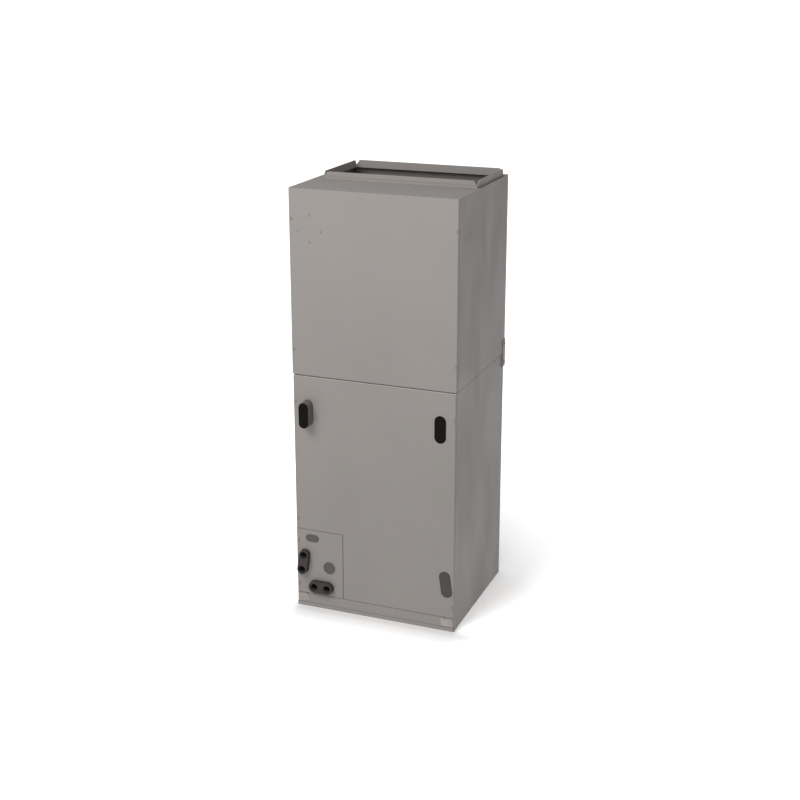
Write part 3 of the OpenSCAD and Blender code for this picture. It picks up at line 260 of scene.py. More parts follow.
def moulded(name, colour, roughness, depth=0.00008, dust=0.10, shine=0.5, upper=None):
    """Moulded plastic or rubber: a fine leather-like grain and a breath of dust.

    The upper colour, if given, is a paler copy laid on what stands higher up on the cabinet: a painted highlight."""
    f = Finish(name)
    pale = (0.10, 0.095, 0.09) if upper else lifted(colour, 0.7, 0.06)
    # Painted highlight: higher up, the piece takes the paler upper colour
    if upper:
        colour = f.blend(f.between(f.spot("Z"), 0.0, 1.0, HIGHLIGHT_FROM, HIGHLIGHT_TO), colour, upper)
    skin = f.cells(1700.0)
    cloud = f.noise(30.0, 4.0)
    tone = f.blend(f.between(cloud, 0.0, dust * 3, 0.45, 0.75), colour, pale)
    f.set(Base_Color=tone, Roughness=f.between(cloud, roughness - 0.06, roughness + 0.08, 0.3, 0.7),
          Specular_IOR_Level=shine, Normal=f.bump(skin, depth, f.bump(f.noise(90.0, 2.0), 0.0002)))
    return f.material


def fibre_blanket(name, colour):
    """Duct liner: matted glass fibre with a thin sprayed skin."""
    f = Finish(name)
    mat = f.noise(420.0, 6.0, distortion=2.2)
    lump = f.noise(38.0, 3.0)
    fleck = f.cells(900.0)
    tone = f.blend(f.between(mat, 0.0, 1.0, 0.35, 0.68), scaled(colour, 0.62), scaled(colour, 1.5))
    tone = f.blend(f.between(fleck, 0.35, 0.0, 0.0, 0.16), tone, lifted(colour, 1.0, 0.10))
    f.set(Base_Color=tone, Roughness=0.94, Sheen_Weight=0.15, Sheen_Roughness=0.6,
          Normal=f.bump(mat, 0.0007, f.bump(lump, 0.0022)))
    return f.material


def cell_foam(name, colour):
    """Closed-cell foam: dark pores in a paler skin."""
    f = Finish(name)
    pores = f.cells(1500.0)
    f.set(Base_Color=f.blend(f.between(pores, 0.0, 1.0, 0.1, 0.5), scaled(colour, 0.4), scaled(colour, 1.6)),
          Roughness=0.9, Normal=f.bump(pores, 0.0004))
    return f.material


def enamel(name, colour):
    """Sprayed enamel on a rolled shell, with settled dust."""
    f = Finish(name)
    cloud = f.noise(26.0, 5.0)
    tone = f.blend(f.between(cloud, 0.0, 0.3, 0.5, 0.8), colour, lifted(colour, 1.0, 0.05))
    f.set(Base_Color=tone, Roughness=f.between(cloud, 0.28, 0.48, 0.3, 0.7), Coat_Weight=0.25, Coat_Roughness=0.2,
          Normal=f.bump(f.noise(500.0, 2.0), 0.00008))
    return f.material


def circuit_board(name, colour):
    """Solder mask over broken copper runs."""
    f = Finish(name)
    runs = f.add("ShaderNodeTexBrick")
    f.feed(runs.inputs["Vector"], f.stretched((1, 1, 1), (90, 0, 0)))
    for key, value in (("Scale", 1.0), ("Mortar Size", 0.00045), ("Mortar Smooth", 0.2),
                       ("Brick Width", 0.011), ("Row Height", 0.0034)):
        runs.inputs[key].default_value = value
    bare = f.total(1.0, runs.outputs["Fac"], "SUBTRACT")
    broken = f.between(f.noise(95.0, 1.0), 0.0, 1.0, 0.47, 0.53)
    mask = f.total(runs.outputs["Fac"], broken, "MULTIPLY")
    tone = f.blend(mask, colour, lifted(colour, 1.8, 0.03))
    f.set(Base_Color=tone, Roughness=f.between(bare, 0.38, 0.28), Coat_Weight=0.3, Coat_Roughness=0.15,
          Normal=f.bump(mask, 0.00005))
    return f.material


def laminated_steel(name, colour):
    """A core of thin varnished leaves, seen on edge."""
    f = Finish(name)
    leaf = f.bands(330.0, "X")
    f.set(Base_Color=f.blend(leaf, scaled(colour, 0.6), scaled(colour, 1.4)), Metallic=0.6,
          Roughness=0.42, Coat_Weight=0.2, Coat_Roughness=0.3, Normal=f.bump(leaf, 0.0002))
    return f.material


def pulp_board(name, colour):
    """Fibre board: short grey fibres, soft blotches and a faint corrugation under the liner."""
    f = Finish(name)
    fibre = f.noise(700.0, 5.0, f.stretched((1.0, 0.25, 1.0)), 1.2)
    blotch = f.noise(24.0, 3.0)
    flute = f.bands(48.0, "X", distortion=0.2)
    tone = f.blend(f.between(fibre, 0.0, 1.0, 0.35, 0.65), scaled(colour, 0.86), scaled(colour, 1.06))
    tone = f.blend(f.between(blotch, 0.0, 0.25, 0.45, 0.7), tone, scaled(colour, 0.8))
    f.set(Base_Color=tone, Roughness=0.88, Normal=f.bump(f.total(fibre, flute), 0.00012))
    return f.material


def filter_paper(name, colour):
    """Needled filter cloth: loose fibres in all directions, thinner in places."""
    f = Finish(name)
    felt = f.noise(520.0, 7.0, distortion=3.0)
    thin = f.noise(70.0, 3.0)
    tone = f.blend(f.between(felt, 0.0, 1.0, 0.35, 0.65), scaled(colour, 0.84), scaled(colour, 1.08))
    tone = f.blend(f.between(thin, 0.0, 0.2, 0.5, 0.75), tone, scaled(colour, 0.78))
    f.set(Base_Color=tone, Roughness=0.95, Sheen_Weight=0.2, Sheen_Roughness=0.5,
          Normal=f.bump(felt, 0.0005))
    return f.material


def clear_plastic(name, colour):
    """Tinted plastic that lets some light through, a little uneven."""
    f = Finish(name)
    f.set(Base_Color=f.blend(f.noise(200.0), colour, scaled(colour, 1.3)), Roughness=0.18,
          Transmission_Weight=0.35, Normal=f.bump(f.noise(400.0), 0.00003))
    return f.material


def dress(material, *names):
    """Gives these CAD nodes a material."""
    for name in names:
        for slot in cad[name].material_slots:
            slot.material = material


# Making pieces

def in_scene(name, data):
    obj = bpy.data.objects.new(name, data)
    bpy.context.scene.collection.objects.link(obj)
    return obj


def finish_piece(name, bm, materials, body="cabinet", smooth=40):
    """Turns a bmesh into a piece that rides on a body, shaded smooth across edges under this many degrees."""
    mesh = bpy.data.meshes.new(name)
    bm.to_mesh(mesh)
    bm.free()
    for material in materials:
        mesh.materials.append(material)
    obj = in_scene(name, mesh)
    for polygon in mesh.polygons:
        polygon.use_smooth = True
    mesh.set_sharp_from_angle(angle=math.radians(smooth))
    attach(obj, body)
    return obj


def assign(verts, material):
    """Gives the faces round these vertices the material of this index."""
    for face in {face for v in verts for face in v.link_faces}:
        face.material_index = material


def block(bm, low, high, round_by=0.0, material=0, segments=2):
    """A box between two corners, with rounded edges if asked."""
    low, high = Vector(low), Vector(high)
    made = bmesh.ops.create_cube(bm, size=1.0, matrix=Matrix.Translation((low + high) / 2)
                                 @ Matrix.Diagonal((*(high - low), 1.0)))
    assign(made["verts"], material)
    if round_by:
        edges = list(dict.fromkeys(edge for v in made["verts"] for edge in v.link_edges))
        result = bmesh.ops.bevel(bm, geom=edges, offset=round_by, affect="EDGES", segments=segments,
                                 profile=0.5, material=-1)
        for face in result["faces"]:
            face.material_index = material


def rod(bm, start, end, radius, sides, material=0):
    """A closed cylinder from start to end."""
    start, end = Vector(start), Vector(end)
    along = end - start
    matrix = Matrix.Translation((start + end) / 2) @ along.to_track_quat("Z", "Y").to_matrix().to_4x4()
    made = bmesh.ops.create_cone(bm, cap_ends=True, segments=sides, radius1=radius, radius2=radius,
                                 depth=along.length, matrix=matrix)
    assign(made["verts"], material)


def turned_ring(bm, centre, axis, outline, steps, material=0):
    """Spins a closed outline of (along, radius) points round an axis through centre."""
    centre, axis = Vector(centre), Vector(axis).normalized()
    out = axis.orthogonal().normalized()
    verts = [bm.verts.new(centre + axis * along + out * radius) for along, radius in outline]
    edges = [bm.edges.new((verts[i], verts[(i + 1) % len(verts)])) for i in range(len(verts))]
    before = set(bm.faces)
    bmesh.ops.spin(bm, geom=verts + edges, cent=centre, axis=axis, angle=2 * math.pi, steps=steps,
                   use_merge=True)
    new = [face for face in bm.faces if face not in before]
    bmesh.ops.recalc_face_normals(bm, faces=new)
    for face in new:
        face.material_index = material


def row(first, step, count):
    """Evenly spaced numbers."""
    return [first + step * i for i in range(count)]


def softened(node, name, material, radius):
    """A copy of a CAD blanket with its cut edges rounded, which stands for the node."""
    bm = bmesh.new()
    bm.from_mesh(cad[node].data)
    bmesh.ops.remove_doubles(bm, verts=bm.verts, dist=0.00002)
    bmesh.ops.dissolve_limit(bm, angle_limit=math.radians(1.0), verts=bm.verts, edges=bm.edges)
    sharp = [edge for edge in bm.edges if len(edge.link_faces) == 2 and edge.calc_face_angle() > math.radians(30)]
    bmesh.ops.bevel(bm, geom=sharp, offset=radius, affect="EDGES", segments=3, profile=0.5, material=-1,
                    clamp_overlap=True)
    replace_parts(finish_piece(name, bm, [material], cad[node]["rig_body"], smooth=50), node)


# Settings

def colour_property(name, description, default):
    return bpy.props.FloatVectorProperty(name=name, description=description, subtype="COLOR", size=3,
                                         min=0.0, max=1.0, default=default)


def number_property(name, description, default, low, high, **more):
    return bpy.props.FloatProperty(name=name, description=description, default=default, min=low, max=high,
                                   **more)


def length_property(name, description, default, low, high):
    return number_property(name, description, default, low, high, precision=5, subtype="DISTANCE", unit="LENGTH")


def power_property(name, description, default):
    return number_property(name, description, default, 0.0, 1000.0, subtype="POWER", unit="POWER")


class CabinetSettings(bpy.types.PropertyGroup):
    paint: colour_property("Paint", "Colour of the painted steel", (0.330, 0.306, 0.290))
    gloss: number_property("Paint roughness", "How dull the paint is", 0.46, 0.0, 1.0, subtype="FACTOR")
    peel: length_property("Orange peel", "Depth of the paint's fine texture", 0.00006, 0.0, 0.001)
    matt: colour_property("Matt zinc", "Colour of the sill and the header behind the panels' edges",
                          (0.50, 0.472, 0.45))
    tab: colour_property("Tab plates", "Colour of the zinc plates on the filter strip", (0.40, 0.365, 0.345))


class MetalSettings(bpy.types.PropertyGroup):
    zinc: colour_property("Zinc", "Colour of the galvanised sheet", (0.56, 0.57, 0.58))
    spangle: length_property("Spangle", "Width of the zinc crystals", 0.009, 0.001, 0.05)
    copper: colour_property("Copper", "Colour of the tube", (0.72, 0.35, 0.21))
    brass: colour_property("Brass", "Colour of the valve body", (0.70, 0.53, 0.25))
    bright: colour_property("Aluminium", "Colour of the fins", (0.76, 0.78, 0.80))


class CoilSettings(bpy.types.PropertyGroup):
    fin_pitch: length_property("Fin pitch", "Distance from fin to fin", 0.0021, 0.0015, 0.01)
    fin: length_property("Fin", "Thickness of a fin", 0.0003, 0.0001, 0.001)


class SoftSettings(bpy.types.PropertyGroup):
    blanket: colour_property("Blanket", "Colour of the duct liner", (0.170, 0.152, 0.139))
    edge: length_property("Soft edge", "Rounding of the liner's cut edges", 0.0022, 0.0001, 0.004)
    paper: colour_property("Filter", "Colour of the pleated filter cloth", (0.78, 0.78, 0.74))
    pleat: length_property("Pleat", "Distance from fold to fold", 0.0186, 0.01, 0.06)


class PortSettings(bpy.types.PropertyGroup):
    pan: colour_property("Drain pans", "Colour of the pans and their bosses", (0.066, 0.056, 0.051))
    # A paler copy of the pan colour, painted highlight on the upper boss
    upper: colour_property("Upper port", "Colour of the side pan's upper boss", (0.170, 0.148, 0.138))
    black: colour_property("Black plugs", "Colour of the black plugs", (0.0052, 0.0046, 0.0044))
    brown: colour_property("Lower plug", "Colour of the lower right plug", (0.060, 0.050, 0.045))
    grommet: colour_property("Grommets", "Colour of the plugs for the refrigerant lines", (0.108, 0.096, 0.088))


class ControlSettings(bpy.types.PropertyGroup):
    board: colour_property("Board", "Colour of the solder mask", (0.012, 0.095, 0.04))
    wire: length_property("Wire", "Thickness of one insulated wire", 0.0026, 0.001, 0.004)


# Degrees by which the camera looks down, and stands to the right of the front
CAMERA_DOWN = 16.8
CAMERA_ROUND = 21.442


class StageSettings(bpy.types.PropertyGroup):
    floor: colour_property("Floor", "Colour of the floor", (0.86, 0.86, 0.86))
    floor_gain: number_property("Floor gain", "How much brighter the camera sees the floor", 2.85, 1.0, 10.0)
    key: power_property("Key", "Power of the large lamp", 57.0)
    front: power_property("Front lamp", "Power of the lamp in front of the fan section", 6.0)
    sky: number_property("Sky", "Strength of the light from all round", 0.37, 0.0, 10.0)
    eye: bpy.props.FloatVectorProperty(name="Camera", description="Place of the camera", size=3,
                                       subtype="TRANSLATION", unit="LENGTH", default=(1.5294, -3.9046, 2.0535))
    aim: bpy.props.FloatVectorProperty(
        name="Camera turn", description="Turn of the camera", size=3, subtype="EULER", unit="ROTATION",
        default=(math.radians(90 - CAMERA_DOWN), 0.0, math.radians(CAMERA_ROUND)))
    lens: number_property("Lens", "Focal length, in millimetres on a 36 mm sensor", 62.404, 10.0, 300.0)
    rise: number_property("Shift", "Vertical shift of the lens, towards the photograph's", -0.05, -0.1, 0.1)


class AirHandlerSettings(bpy.types.PropertyGroup):
    cabinet: bpy.props.PointerProperty(type=CabinetSettings)
    metal: bpy.props.PointerProperty(type=MetalSettings)
    coil: bpy.props.PointerProperty(type=CoilSettings)
    soft: bpy.props.PointerProperty(type=SoftSettings)
    ports: bpy.props.PointerProperty(type=PortSettings)
    controls: bpy.props.PointerProperty(type=ControlSettings)
    stage: bpy.props.PointerProperty(type=StageSettings)


# Cabinet, liners and ports

# The fan panel's four dimples, where shade is painted, and the height above which the coil panel's fold has a
# painted highlight
DIMPLES = [(x, -0.2346, z) for x, z in ((-0.200, 1.278), (-0.239, 1.229), (-0.164, 1.230), (-0.200, 1.196))]
COIL_PANEL_HIGHLIGHT = 0.7757


class AIRHANDLER_OT_cabinet(bpy.types.Operator):
    """Paint the casings, the panels, the deck and the base"""
    bl_idname = "air_handler.cabinet"
    bl_label = "Painted cabinet"
    bl_options = {"REGISTER", "UNDO"}

    def execute(self, context):
        s = context.scene.air_handler.cabinet
        dress(powder_coat("warm_grey_paint", s.paint, s.gloss, s.peel),
              "fan_casing", "coil_casing", "top_deck", "base_frame", "corner_brackets",
              "fittings_panel", "filter_panel")
        # The coil panel's top fold gets a painted highlight
        dress(powder_coat("coil_panel_paint", s.paint, s.gloss, s.peel, rim=COIL_PANEL_HIGHLIGHT), "coil_panel")
        # The fan panel's dimples get painted shade
        dress(powder_coat("fan_panel_paint", s.paint, s.gloss, s.peel, dimples=DIMPLES), "blower_panel")
        dress(powder_coat("matt_zinc", s.matt, s.gloss + 0.12, s.peel), "fan_sill", "coil_header")
        dress(powder_coat("painted_screw_heads", scaled(s.paint, 0.96), s.gloss - 0.08, s.peel * 0.5, mottle=0.08),
              "blower_panel_screws", "coil_panel_screws", "fittings_screws", "cabinet_screws")
        dress(drawn_metal("zinc_tabs", s.tab, 0.5, stain=0.82, metallic=0.55), "filter_latches")
        return {"FINISHED"}


class AIRHANDLER_OT_sheet_metal(bpy.types.Operator):
    """Give the bare inner steel its zinc finish"""
    bl_idname = "air_handler.sheet_metal"
    bl_label = "Galvanised parts"
    bl_options = {"REGISTER", "UNDO"}

    def execute(self, context):
        s = context.scene.air_handler.metal
        dress(galvanised_steel("galvanised_sheet", s.zinc, s.spangle),
              "panel_rail", "filter_tracks", "pan_rails", "blower_deck", "control_plate", "heater_cover",
              "tube_sheets", "apex_plate", "delta_plates", "blower_sides", "blower_scroll", "motor_mount")
        dress(galvanised_steel("rolled_wheel_steel", scaled(s.zinc, 0.95), s.spangle * 0.6),
              "blower_wheel", "wheel_blades")
        dress(drawn_metal("ground_shaft", (0.62, 0.62, 0.63), 0.22, grain=(1.0, 0.02, 1.0), stain=0.85),
              "motor_shaft")
        return {"FINISHED"}


class AIRHANDLER_OT_liners(bpy.types.Operator):
    """Make the insulation blankets and the foam gasket"""
    bl_idname = "air_handler.liners"
    bl_label = "Insulation and gasket"
    bl_options = {"REGISTER", "UNDO"}

    def execute(self, context):
        s = context.scene.air_handler.soft
        blanket = fibre_blanket("duct_liner", s.blanket)
        for node, name in (("fan_insulation", "fan_section_blanket"), ("coil_insulation", "coil_section_blanket"),
                           ("blower_panel_pad", "blower_panel_blanket"), ("coil_panel_pad", "coil_panel_blanket")):
            softened(node, name, blanket, s.edge)
        foam = cell_foam("gasket_foam", (0.33, 0.305, 0.29))
        softened("section_gasket", "foam_gasket", foam, radius=0.0006)
        return {"FINISHED"}


class AIRHANDLER_OT_ports(bpy.types.Operator):
    """Finish the drain pans, their bosses, the plugs and the grommets"""
    bl_idname = "air_handler.ports"
    bl_label = "Drain pans and plugs"
    bl_options = {"REGISTER", "UNDO"}

    def execute(self, context):
        s = context.scene.air_handler.ports
        dress(moulded("drain_pan_plastic", s.pan, 0.62, shine=0.16),
              "drain_pan", "drain_pan_port", "side_drain_pan")
        # The upper boss takes the paler upper colour, a painted highlight
        dress(moulded("side_port_plastic", s.pan, 0.62, shine=0.16, upper=s.upper), "side_pan_ports")
        dress(moulded("black_rubber", s.black, 0.6, dust=0.02, shine=0.08), "side_port_cap", "port_plug_upper")
        dress(moulded("brown_plug_plastic", s.brown, 0.55), "port_plug_lower")
        dress(moulded("grommet_rubber", s.grommet, 0.62), "liquid_plug", "suction_plug")
        return {"FINISHED"}


# Coil

# A slab's foot in X and Z, its lean in degrees, its length up the lean, half its depth, and its ends in Y
SLAB_FOOT = (0.1852, 0.077892)
SLAB_LEAN = 16.9962
SLAB_LENGTH = 0.520
SLAB_HALF = 0.027
SLAB_Y = (-0.165, 0.185)
# Two rows of tubes: each row's distance from the slab's middle, the first tube's height, step and number
TUBE_ROW = 0.011
TUBE_FIRST = 0.0441
TUBE_STEP = 0.0254
TUBES = 18
TUBE_R = 0.0048
TUBE_SHORT = 0.001


def slab_matrix(side):
    """From a slab's own frame, X through it and Z up along it, to its place."""
    return (Matrix.Diagonal((side, 1, 1, 1)) @ Matrix.Translation((SLAB_FOOT[0], 0, SLAB_FOOT[1]))
            @ Matrix.Rotation(math.radians(-SLAB_LEAN), 4, "Y"))


class AIRHANDLER_OT_coil(bpy.types.Operator):
    """Stack the fins on their tubes, and finish the copper and the valve"""
    bl_idname = "air_handler.coil"
    bl_label = "Coil"
    bl_options = {"REGISTER", "UNDO"}

    def execute(self, context):
        s, m = context.scene.air_handler.coil, context.scene.air_handler.metal
        fins = drawn_metal("fin_stock", m.bright, 0.34, grain=(1.0, 1.0, 0.2), stain=0.9)
        copper = drawn_metal("copper_tube", m.copper, 0.30, stain=0.55)
        front, back = SLAB_Y
        gaps = int((back - front - s.fin) / s.fin_pitch)
        step = (back - front - s.fin) / gaps
        for side, name in ((-1, "left"), (1, "right")):
            bm = bmesh.new()
            place = slab_matrix(side)
            for y in row(front + s.fin / 2, step, gaps + 1):
                bmesh.ops.create_cube(bm, size=1.0, matrix=place @ Matrix.Translation((0, y, SLAB_LENGTH / 2))
                                      @ Matrix.Diagonal((2 * SLAB_HALF, s.fin, SLAB_LENGTH, 1)))
            for u in (-TUBE_ROW, TUBE_ROW):
                for z in row(TUBE_FIRST, TUBE_STEP, TUBES):
                    ends = [place @ Vector((u, y, z)) for y in (front + TUBE_SHORT, back - TUBE_SHORT)]
                    rod(bm, *ends, TUBE_R, 12, material=1)
            bmesh.ops.recalc_face_normals(bm, faces=bm.faces)
            stack = finish_piece("fin_stack_" + name, bm, [fins, copper])
            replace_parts(stack, "fin_block_" + name)
        dress(copper, "return_bends", "suction_header", "liquid_line", "distributor")
        dress(drawn_metal("valve_brass", m.brass, 0.28, grain=(0.2, 1.0, 1.0), stain=0.75), "expansion_valve")
        return {"FINISHED"}


# Motor

# The motor's line in Y and Z, the ends of its shell in X, and the shell's radius
MOTOR_AXIS = (0.010, 0.990)
MOTOR_X = (0.035, 0.165)
MOTOR_R = 0.065
# Outline of the bead rolled over the joint of shell and end bell, and where the two beads start
BEAD = [(0, MOTOR_R - 0.001), (0.0005, MOTOR_R + 0.0009), (0.0025, MOTOR_R + 0.0009), (0.003, MOTOR_R - 0.001)]
BEAD_X = (MOTOR_X[0] + 0.012, MOTOR_X[1] - 0.014)
# Through bolts: their circle, where a nut starts and ends and where its bolt ends, from the motor's end
BOLT_CIRCLE = 0.050
NUT_X = (-0.0035, 0.0027)
BOLT_END = 0.0057
NUT_R, BOLT_R = 0.0040, 0.0021
# Cooling slots: from and to this far from the motor's line, their place from its end, and half their width
SLOT_FROM, SLOT_TO = 0.024, 0.038
SLOT_X = -0.0002
SLOT_R = 0.0022


class AIRHANDLER_OT_motor(bpy.types.Operator):
    """Finish the motor, with its end bells, cooling slots and through bolts"""
    bl_idname = "air_handler.motor"
    bl_label = "Blower motor"
    bl_options = {"REGISTER", "UNDO"}

    def execute(self, context):
        shell = enamel("motor_enamel", (0.022, 0.022, 0.025))
        dress(shell, "motor")
        bright = drawn_metal("plated_bolts", (0.60, 0.60, 0.58), 0.3)
        dark = moulded("slot_shadow", (0.004, 0.004, 0.004), 0.9)
        y, z = MOTOR_AXIS
        end = MOTOR_X[1]

        def on_end(out, degrees, radius):
            """A point this far out of the motor's end, at this angle and radius."""
            a = math.radians(degrees)
            return Vector((end + out, y, z)) + Vector((0, math.cos(a), math.sin(a))) * radius

        bm = bmesh.new()
        for x in BEAD_X:
            turned_ring(bm, (x, y, z), (1, 0, 0), BEAD, 72)
        for turn in row(45, 90, 4):
            tail, face, tip = [on_end(out, turn, BOLT_CIRCLE) for out in (*NUT_X, BOLT_END)]
            rod(bm, tail, face, NUT_R, 6, material=1)
            rod(bm, face, tip, BOLT_R, 12, material=1)
        for turn in row(15, 30, 12):
            rod(bm, on_end(SLOT_X, turn, SLOT_FROM), on_end(SLOT_X, turn, SLOT_TO), SLOT_R, 10, material=2)
        finish_piece("motor_fittings", bm, [shell, bright, dark])
        return {"FINISHED"}


# Controls

# Middle of the board's front face, and the order of the materials of what is soldered to it
BOARD = (-0.130, -0.0676, 1.282)
PLASTIC, TIN, NYLON, SLEEVE, LENS, FUSE = range(6)


def board_parts(materials):
    """Relays, connectors, capacitors, blades, a chip, a fuse, a lamp and resistors."""
    def at(across, out, up):
        """A point from the middle of the board's face, out towards the front."""
        return BOARD[0] + across, BOARD[1] - out, BOARD[2] + up

    bm = bmesh.new()
    for left in (-0.0424, -0.0124):
        block(bm, at(left, 0.0169, 0.0036), at(left + 0.0228, 0.0002, 0.0324), 0.0008, PLASTIC)

    # A strip of screw terminals below, and a connector with two rows of pins at the right
    block(bm, at(-0.0444, 0.0089, -0.0344), at(0.0124, 0.0002, -0.0216), 0.0006, NYLON)
    for u in row(-0.0405, 0.0068, 8):
        rod(bm, at(u, 0.0086, -0.028), at(u, 0.0092, -0.028), 0.0022, 12, TIN)
    block(bm, at(0.0236, 0.0108, -0.0304), at(0.0464, 0.0002, 0.0284), 0.0006, NYLON)
    for v in row(-0.027, 0.0065, 9):
        for u in (0.0296, 0.0396):
            block(bm, at(u - 0.0017, 0.0118, v - 0.0017), at(u + 0.0017, 0.0106, v + 0.0017), material=TIN)

    # Upright capacitors with bare tops, and blades along the top edge
    for u in row(-0.036, 0.014, 4):
        rod(bm, at(u, 0.0, -0.010), at(u, 0.0112, -0.010), 0.0047, 24, SLEEVE)
        rod(bm, at(u, 0.0111, -0.010), at(u, 0.0114, -0.010), 0.0038, 24, TIN)
    for u in row(0.013, 0.0082, 5):
        block(bm, at(u - 0.0032, 0.0085, 0.0338), at(u + 0.0032, 0.0, 0.0346), material=TIN)

    # The chip and its legs
    block(bm, at(0.0005, 0.0022, -0.017), at(0.0145, 0.0003, -0.0085), 0.0003, PLASTIC)
    for u in row(0.0020, 0.0027, 5):
        for v in (-0.0185, -0.007):
            block(bm, at(u - 0.0004, 0.0011, v - 0.0016), at(u + 0.0004, 0.0001, v + 0.0016), material=TIN)

    # The fuse, the lamp, and a row of resistors on their wires
    block(bm, at(-0.0515, 0.009, 0.006), at(-0.0465, 0.0003, 0.025), 0.0006, FUSE)
    lamp = bmesh.ops.create_uvsphere(bm, u_segments=16, v_segments=10, radius=0.0024,
                                     matrix=Matrix.Translation(at(0.0185, 0.0012, 0.028)))
    assign(lamp["verts"], LENS)
    for u in row(-0.050, 0.0105, 6):
        rod(bm, at(u, 0.0016, -0.0385), at(u + 0.006, 0.0016, -0.0385), 0.0012, 10, NYLON)
        rod(bm, at(u - 0.0015, 0.0016, -0.0385), at(u + 0.0075, 0.0016, -0.0385), 0.0003, 6, TIN)
    finish_piece("board_parts", bm, materials)


def transformer_winding(tape, tin):
    """The taped winding in the window of the core, and the core's four rivets."""
    low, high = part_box("transformer")
    mid = (low + high) / 2
    bm = bmesh.new()
    block(bm, (mid.x - 0.0166, low.y - 0.0004, mid.z - 0.0186), (mid.x + 0.0166, low.y + 0.0096, mid.z + 0.0186),
          0.003, segments=3)
    for x in (mid.x - 0.018, mid.x + 0.018):
        for z in (mid.z - 0.017, mid.z + 0.017):
            rod(bm, (x, low.y + 0.0102, z), (x, low.y + 0.0075, z), 0.0026, 12, material=1)
    finish_piece("transformer_winding", bm, [tape, tin])


def terminal_screws(tin, plastic):
    """Three slotted screws on their clamp plates."""
    low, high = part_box("terminal_block")
    mid = (low + high) / 2
    bm = bmesh.new()
    for x in row(mid.x - 0.022, 0.022, 3):
        rod(bm, (x, low.y + 0.0002, mid.z), (x, low.y - 0.0010, mid.z), 0.0044, 20)
        block(bm, (x - 0.0038, low.y - 0.0013, mid.z - 0.0005), (x + 0.0038, low.y - 0.0008, mid.z + 0.0005),
              material=1)
        block(bm, (x - 0.0075, low.y + 0.0030, mid.z - 0.0090), (x + 0.0075, low.y + 0.0042, mid.z + 0.0090))
    finish_piece("terminal_screws", bm, [tin, plastic])


def capacitor_rim(plastic, tin):
    """The rolled rim of the can, round its plastic top."""
    low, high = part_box("capacitor")
    x, y, top = (low.x + high.x) / 2, low.y + 0.0235, high.z - 0.010
    outline = [(-0.0025, 0.0215), (-0.0025, 0.0238), (0.0006, 0.0238), (0.0012, 0.0225), (0.0006, 0.0215)]
    bm = bmesh.new()
    turned_ring(bm, (x, y, top), (0, 0, 1), outline, 48, material=1)
    rod(bm, (x, y, top - 0.001), (x, y, top + 0.0004), 0.0212, 40)
    finish_piece("capacitor_rim", bm, [plastic, tin])


class AIRHANDLER_OT_controls(bpy.types.Operator):
    """Fit out the control board, the transformer, the capacitor and the terminal block"""
    bl_idname = "air_handler.controls"
    bl_label = "Controls"
    bl_options = {"REGISTER", "UNDO"}

    def execute(self, context):
        s = context.scene.air_handler.controls
        dress(circuit_board("solder_mask", s.board), "control_board")
        dress(laminated_steel("core_laminations", (0.10, 0.10, 0.11)), "transformer")
        dress(moulded("terminal_phenolic", (0.015, 0.015, 0.016), 0.38), "terminal_block")
        dress(drawn_metal("drawn_can", (0.72, 0.73, 0.75), 0.25, grain=(1.0, 1.0, 0.05), stain=0.88), "capacitor")
        plastic = moulded("relay_plastic", (0.014, 0.014, 0.015), 0.3, depth=0.00003, dust=0.02)
        tin = drawn_metal("tinned_brass", (0.66, 0.65, 0.60), 0.3)
        nylon = moulded("connector_nylon", (0.62, 0.60, 0.52), 0.4, dust=0.03)
        sleeve = moulded("capacitor_sleeve", (0.02, 0.05, 0.15), 0.3, depth=0.00002, dust=0.02)
        tape = moulded("winding_tape", (0.45, 0.26, 0.05), 0.35, depth=0.00005, dust=0.05)
        lens = clear_plastic("indicator_lens", (0.5, 0.02, 0.02))
        fuse = clear_plastic("fuse_body", (0.20, 0.05, 0.35))
        board_parts([plastic, tin, nylon, sleeve, lens, fuse])
        transformer_winding(tape, tin)
        terminal_screws(tin, plastic)
        capacitor_rim(plastic, tin)
        return {"FINISHED"}


# Motor leads

# The leads' way from the board down to the motor, and the points of the smoothed way that carry a tie
LOOM = [(-0.0837, -0.0720, 1.296), (-0.0735, -0.0720, 1.296), (-0.0625, -0.0840, 1.296), (0.168, -0.0840, 1.296),
        (0.1845, -0.0840, 1.2905), (0.190, -0.0840, 1.274), (0.190, -0.0840, 1.042), (0.190, -0.0785, 1.0255),
        (0.190, -0.062, 1.020), (0.190, -0.012, 1.020), (0.1845, 0.0045, 1.020), (0.1653, 0.010, 1.020)]
LOOM_STEPS = 6
TIES = (10, 20, 27, 38)
# A wire's distance from the middle of the bundle, in wire thicknesses, and the twist at each point, in degrees
WIRE_LAY = 0.68
WIRE_TWIST = 11
# A tie's inner radius, in wire thicknesses, its thickness, and half its width
TIE_R = 1.2
TIE_THICK = 0.0009
TIE_HALF = 0.0012


def smooth_route(points, steps, pull=0.16, most=0.33):
    """Points on a soft curve through the given ones, this many for each stretch.

    Pull sets the length of the curve's handles, and most is their largest share of a stretch."""
    points = [Vector(p) for p in points]
    ends = [points[0] * 2 - points[1], *points, points[-1] * 2 - points[-2]]
    route = []
    for a, b, c, d in zip(ends, ends[1:], ends[2:], ends[3:]):
        near, far = (c - a) * pull, (d - b) * pull
        reach = (c - b).length * most
        near = near.normalized() * min(near.length, reach)
        far = far.normalized() * min(far.length, reach)
        for k in range(steps):
            t = k / steps
            route.append(b * (1 - t) ** 3 + (b + near) * 3 * t * (1 - t) ** 2
                         + (c - far) * 3 * t * t * (1 - t) + c * t ** 3)
    return [*route, points[-1]]


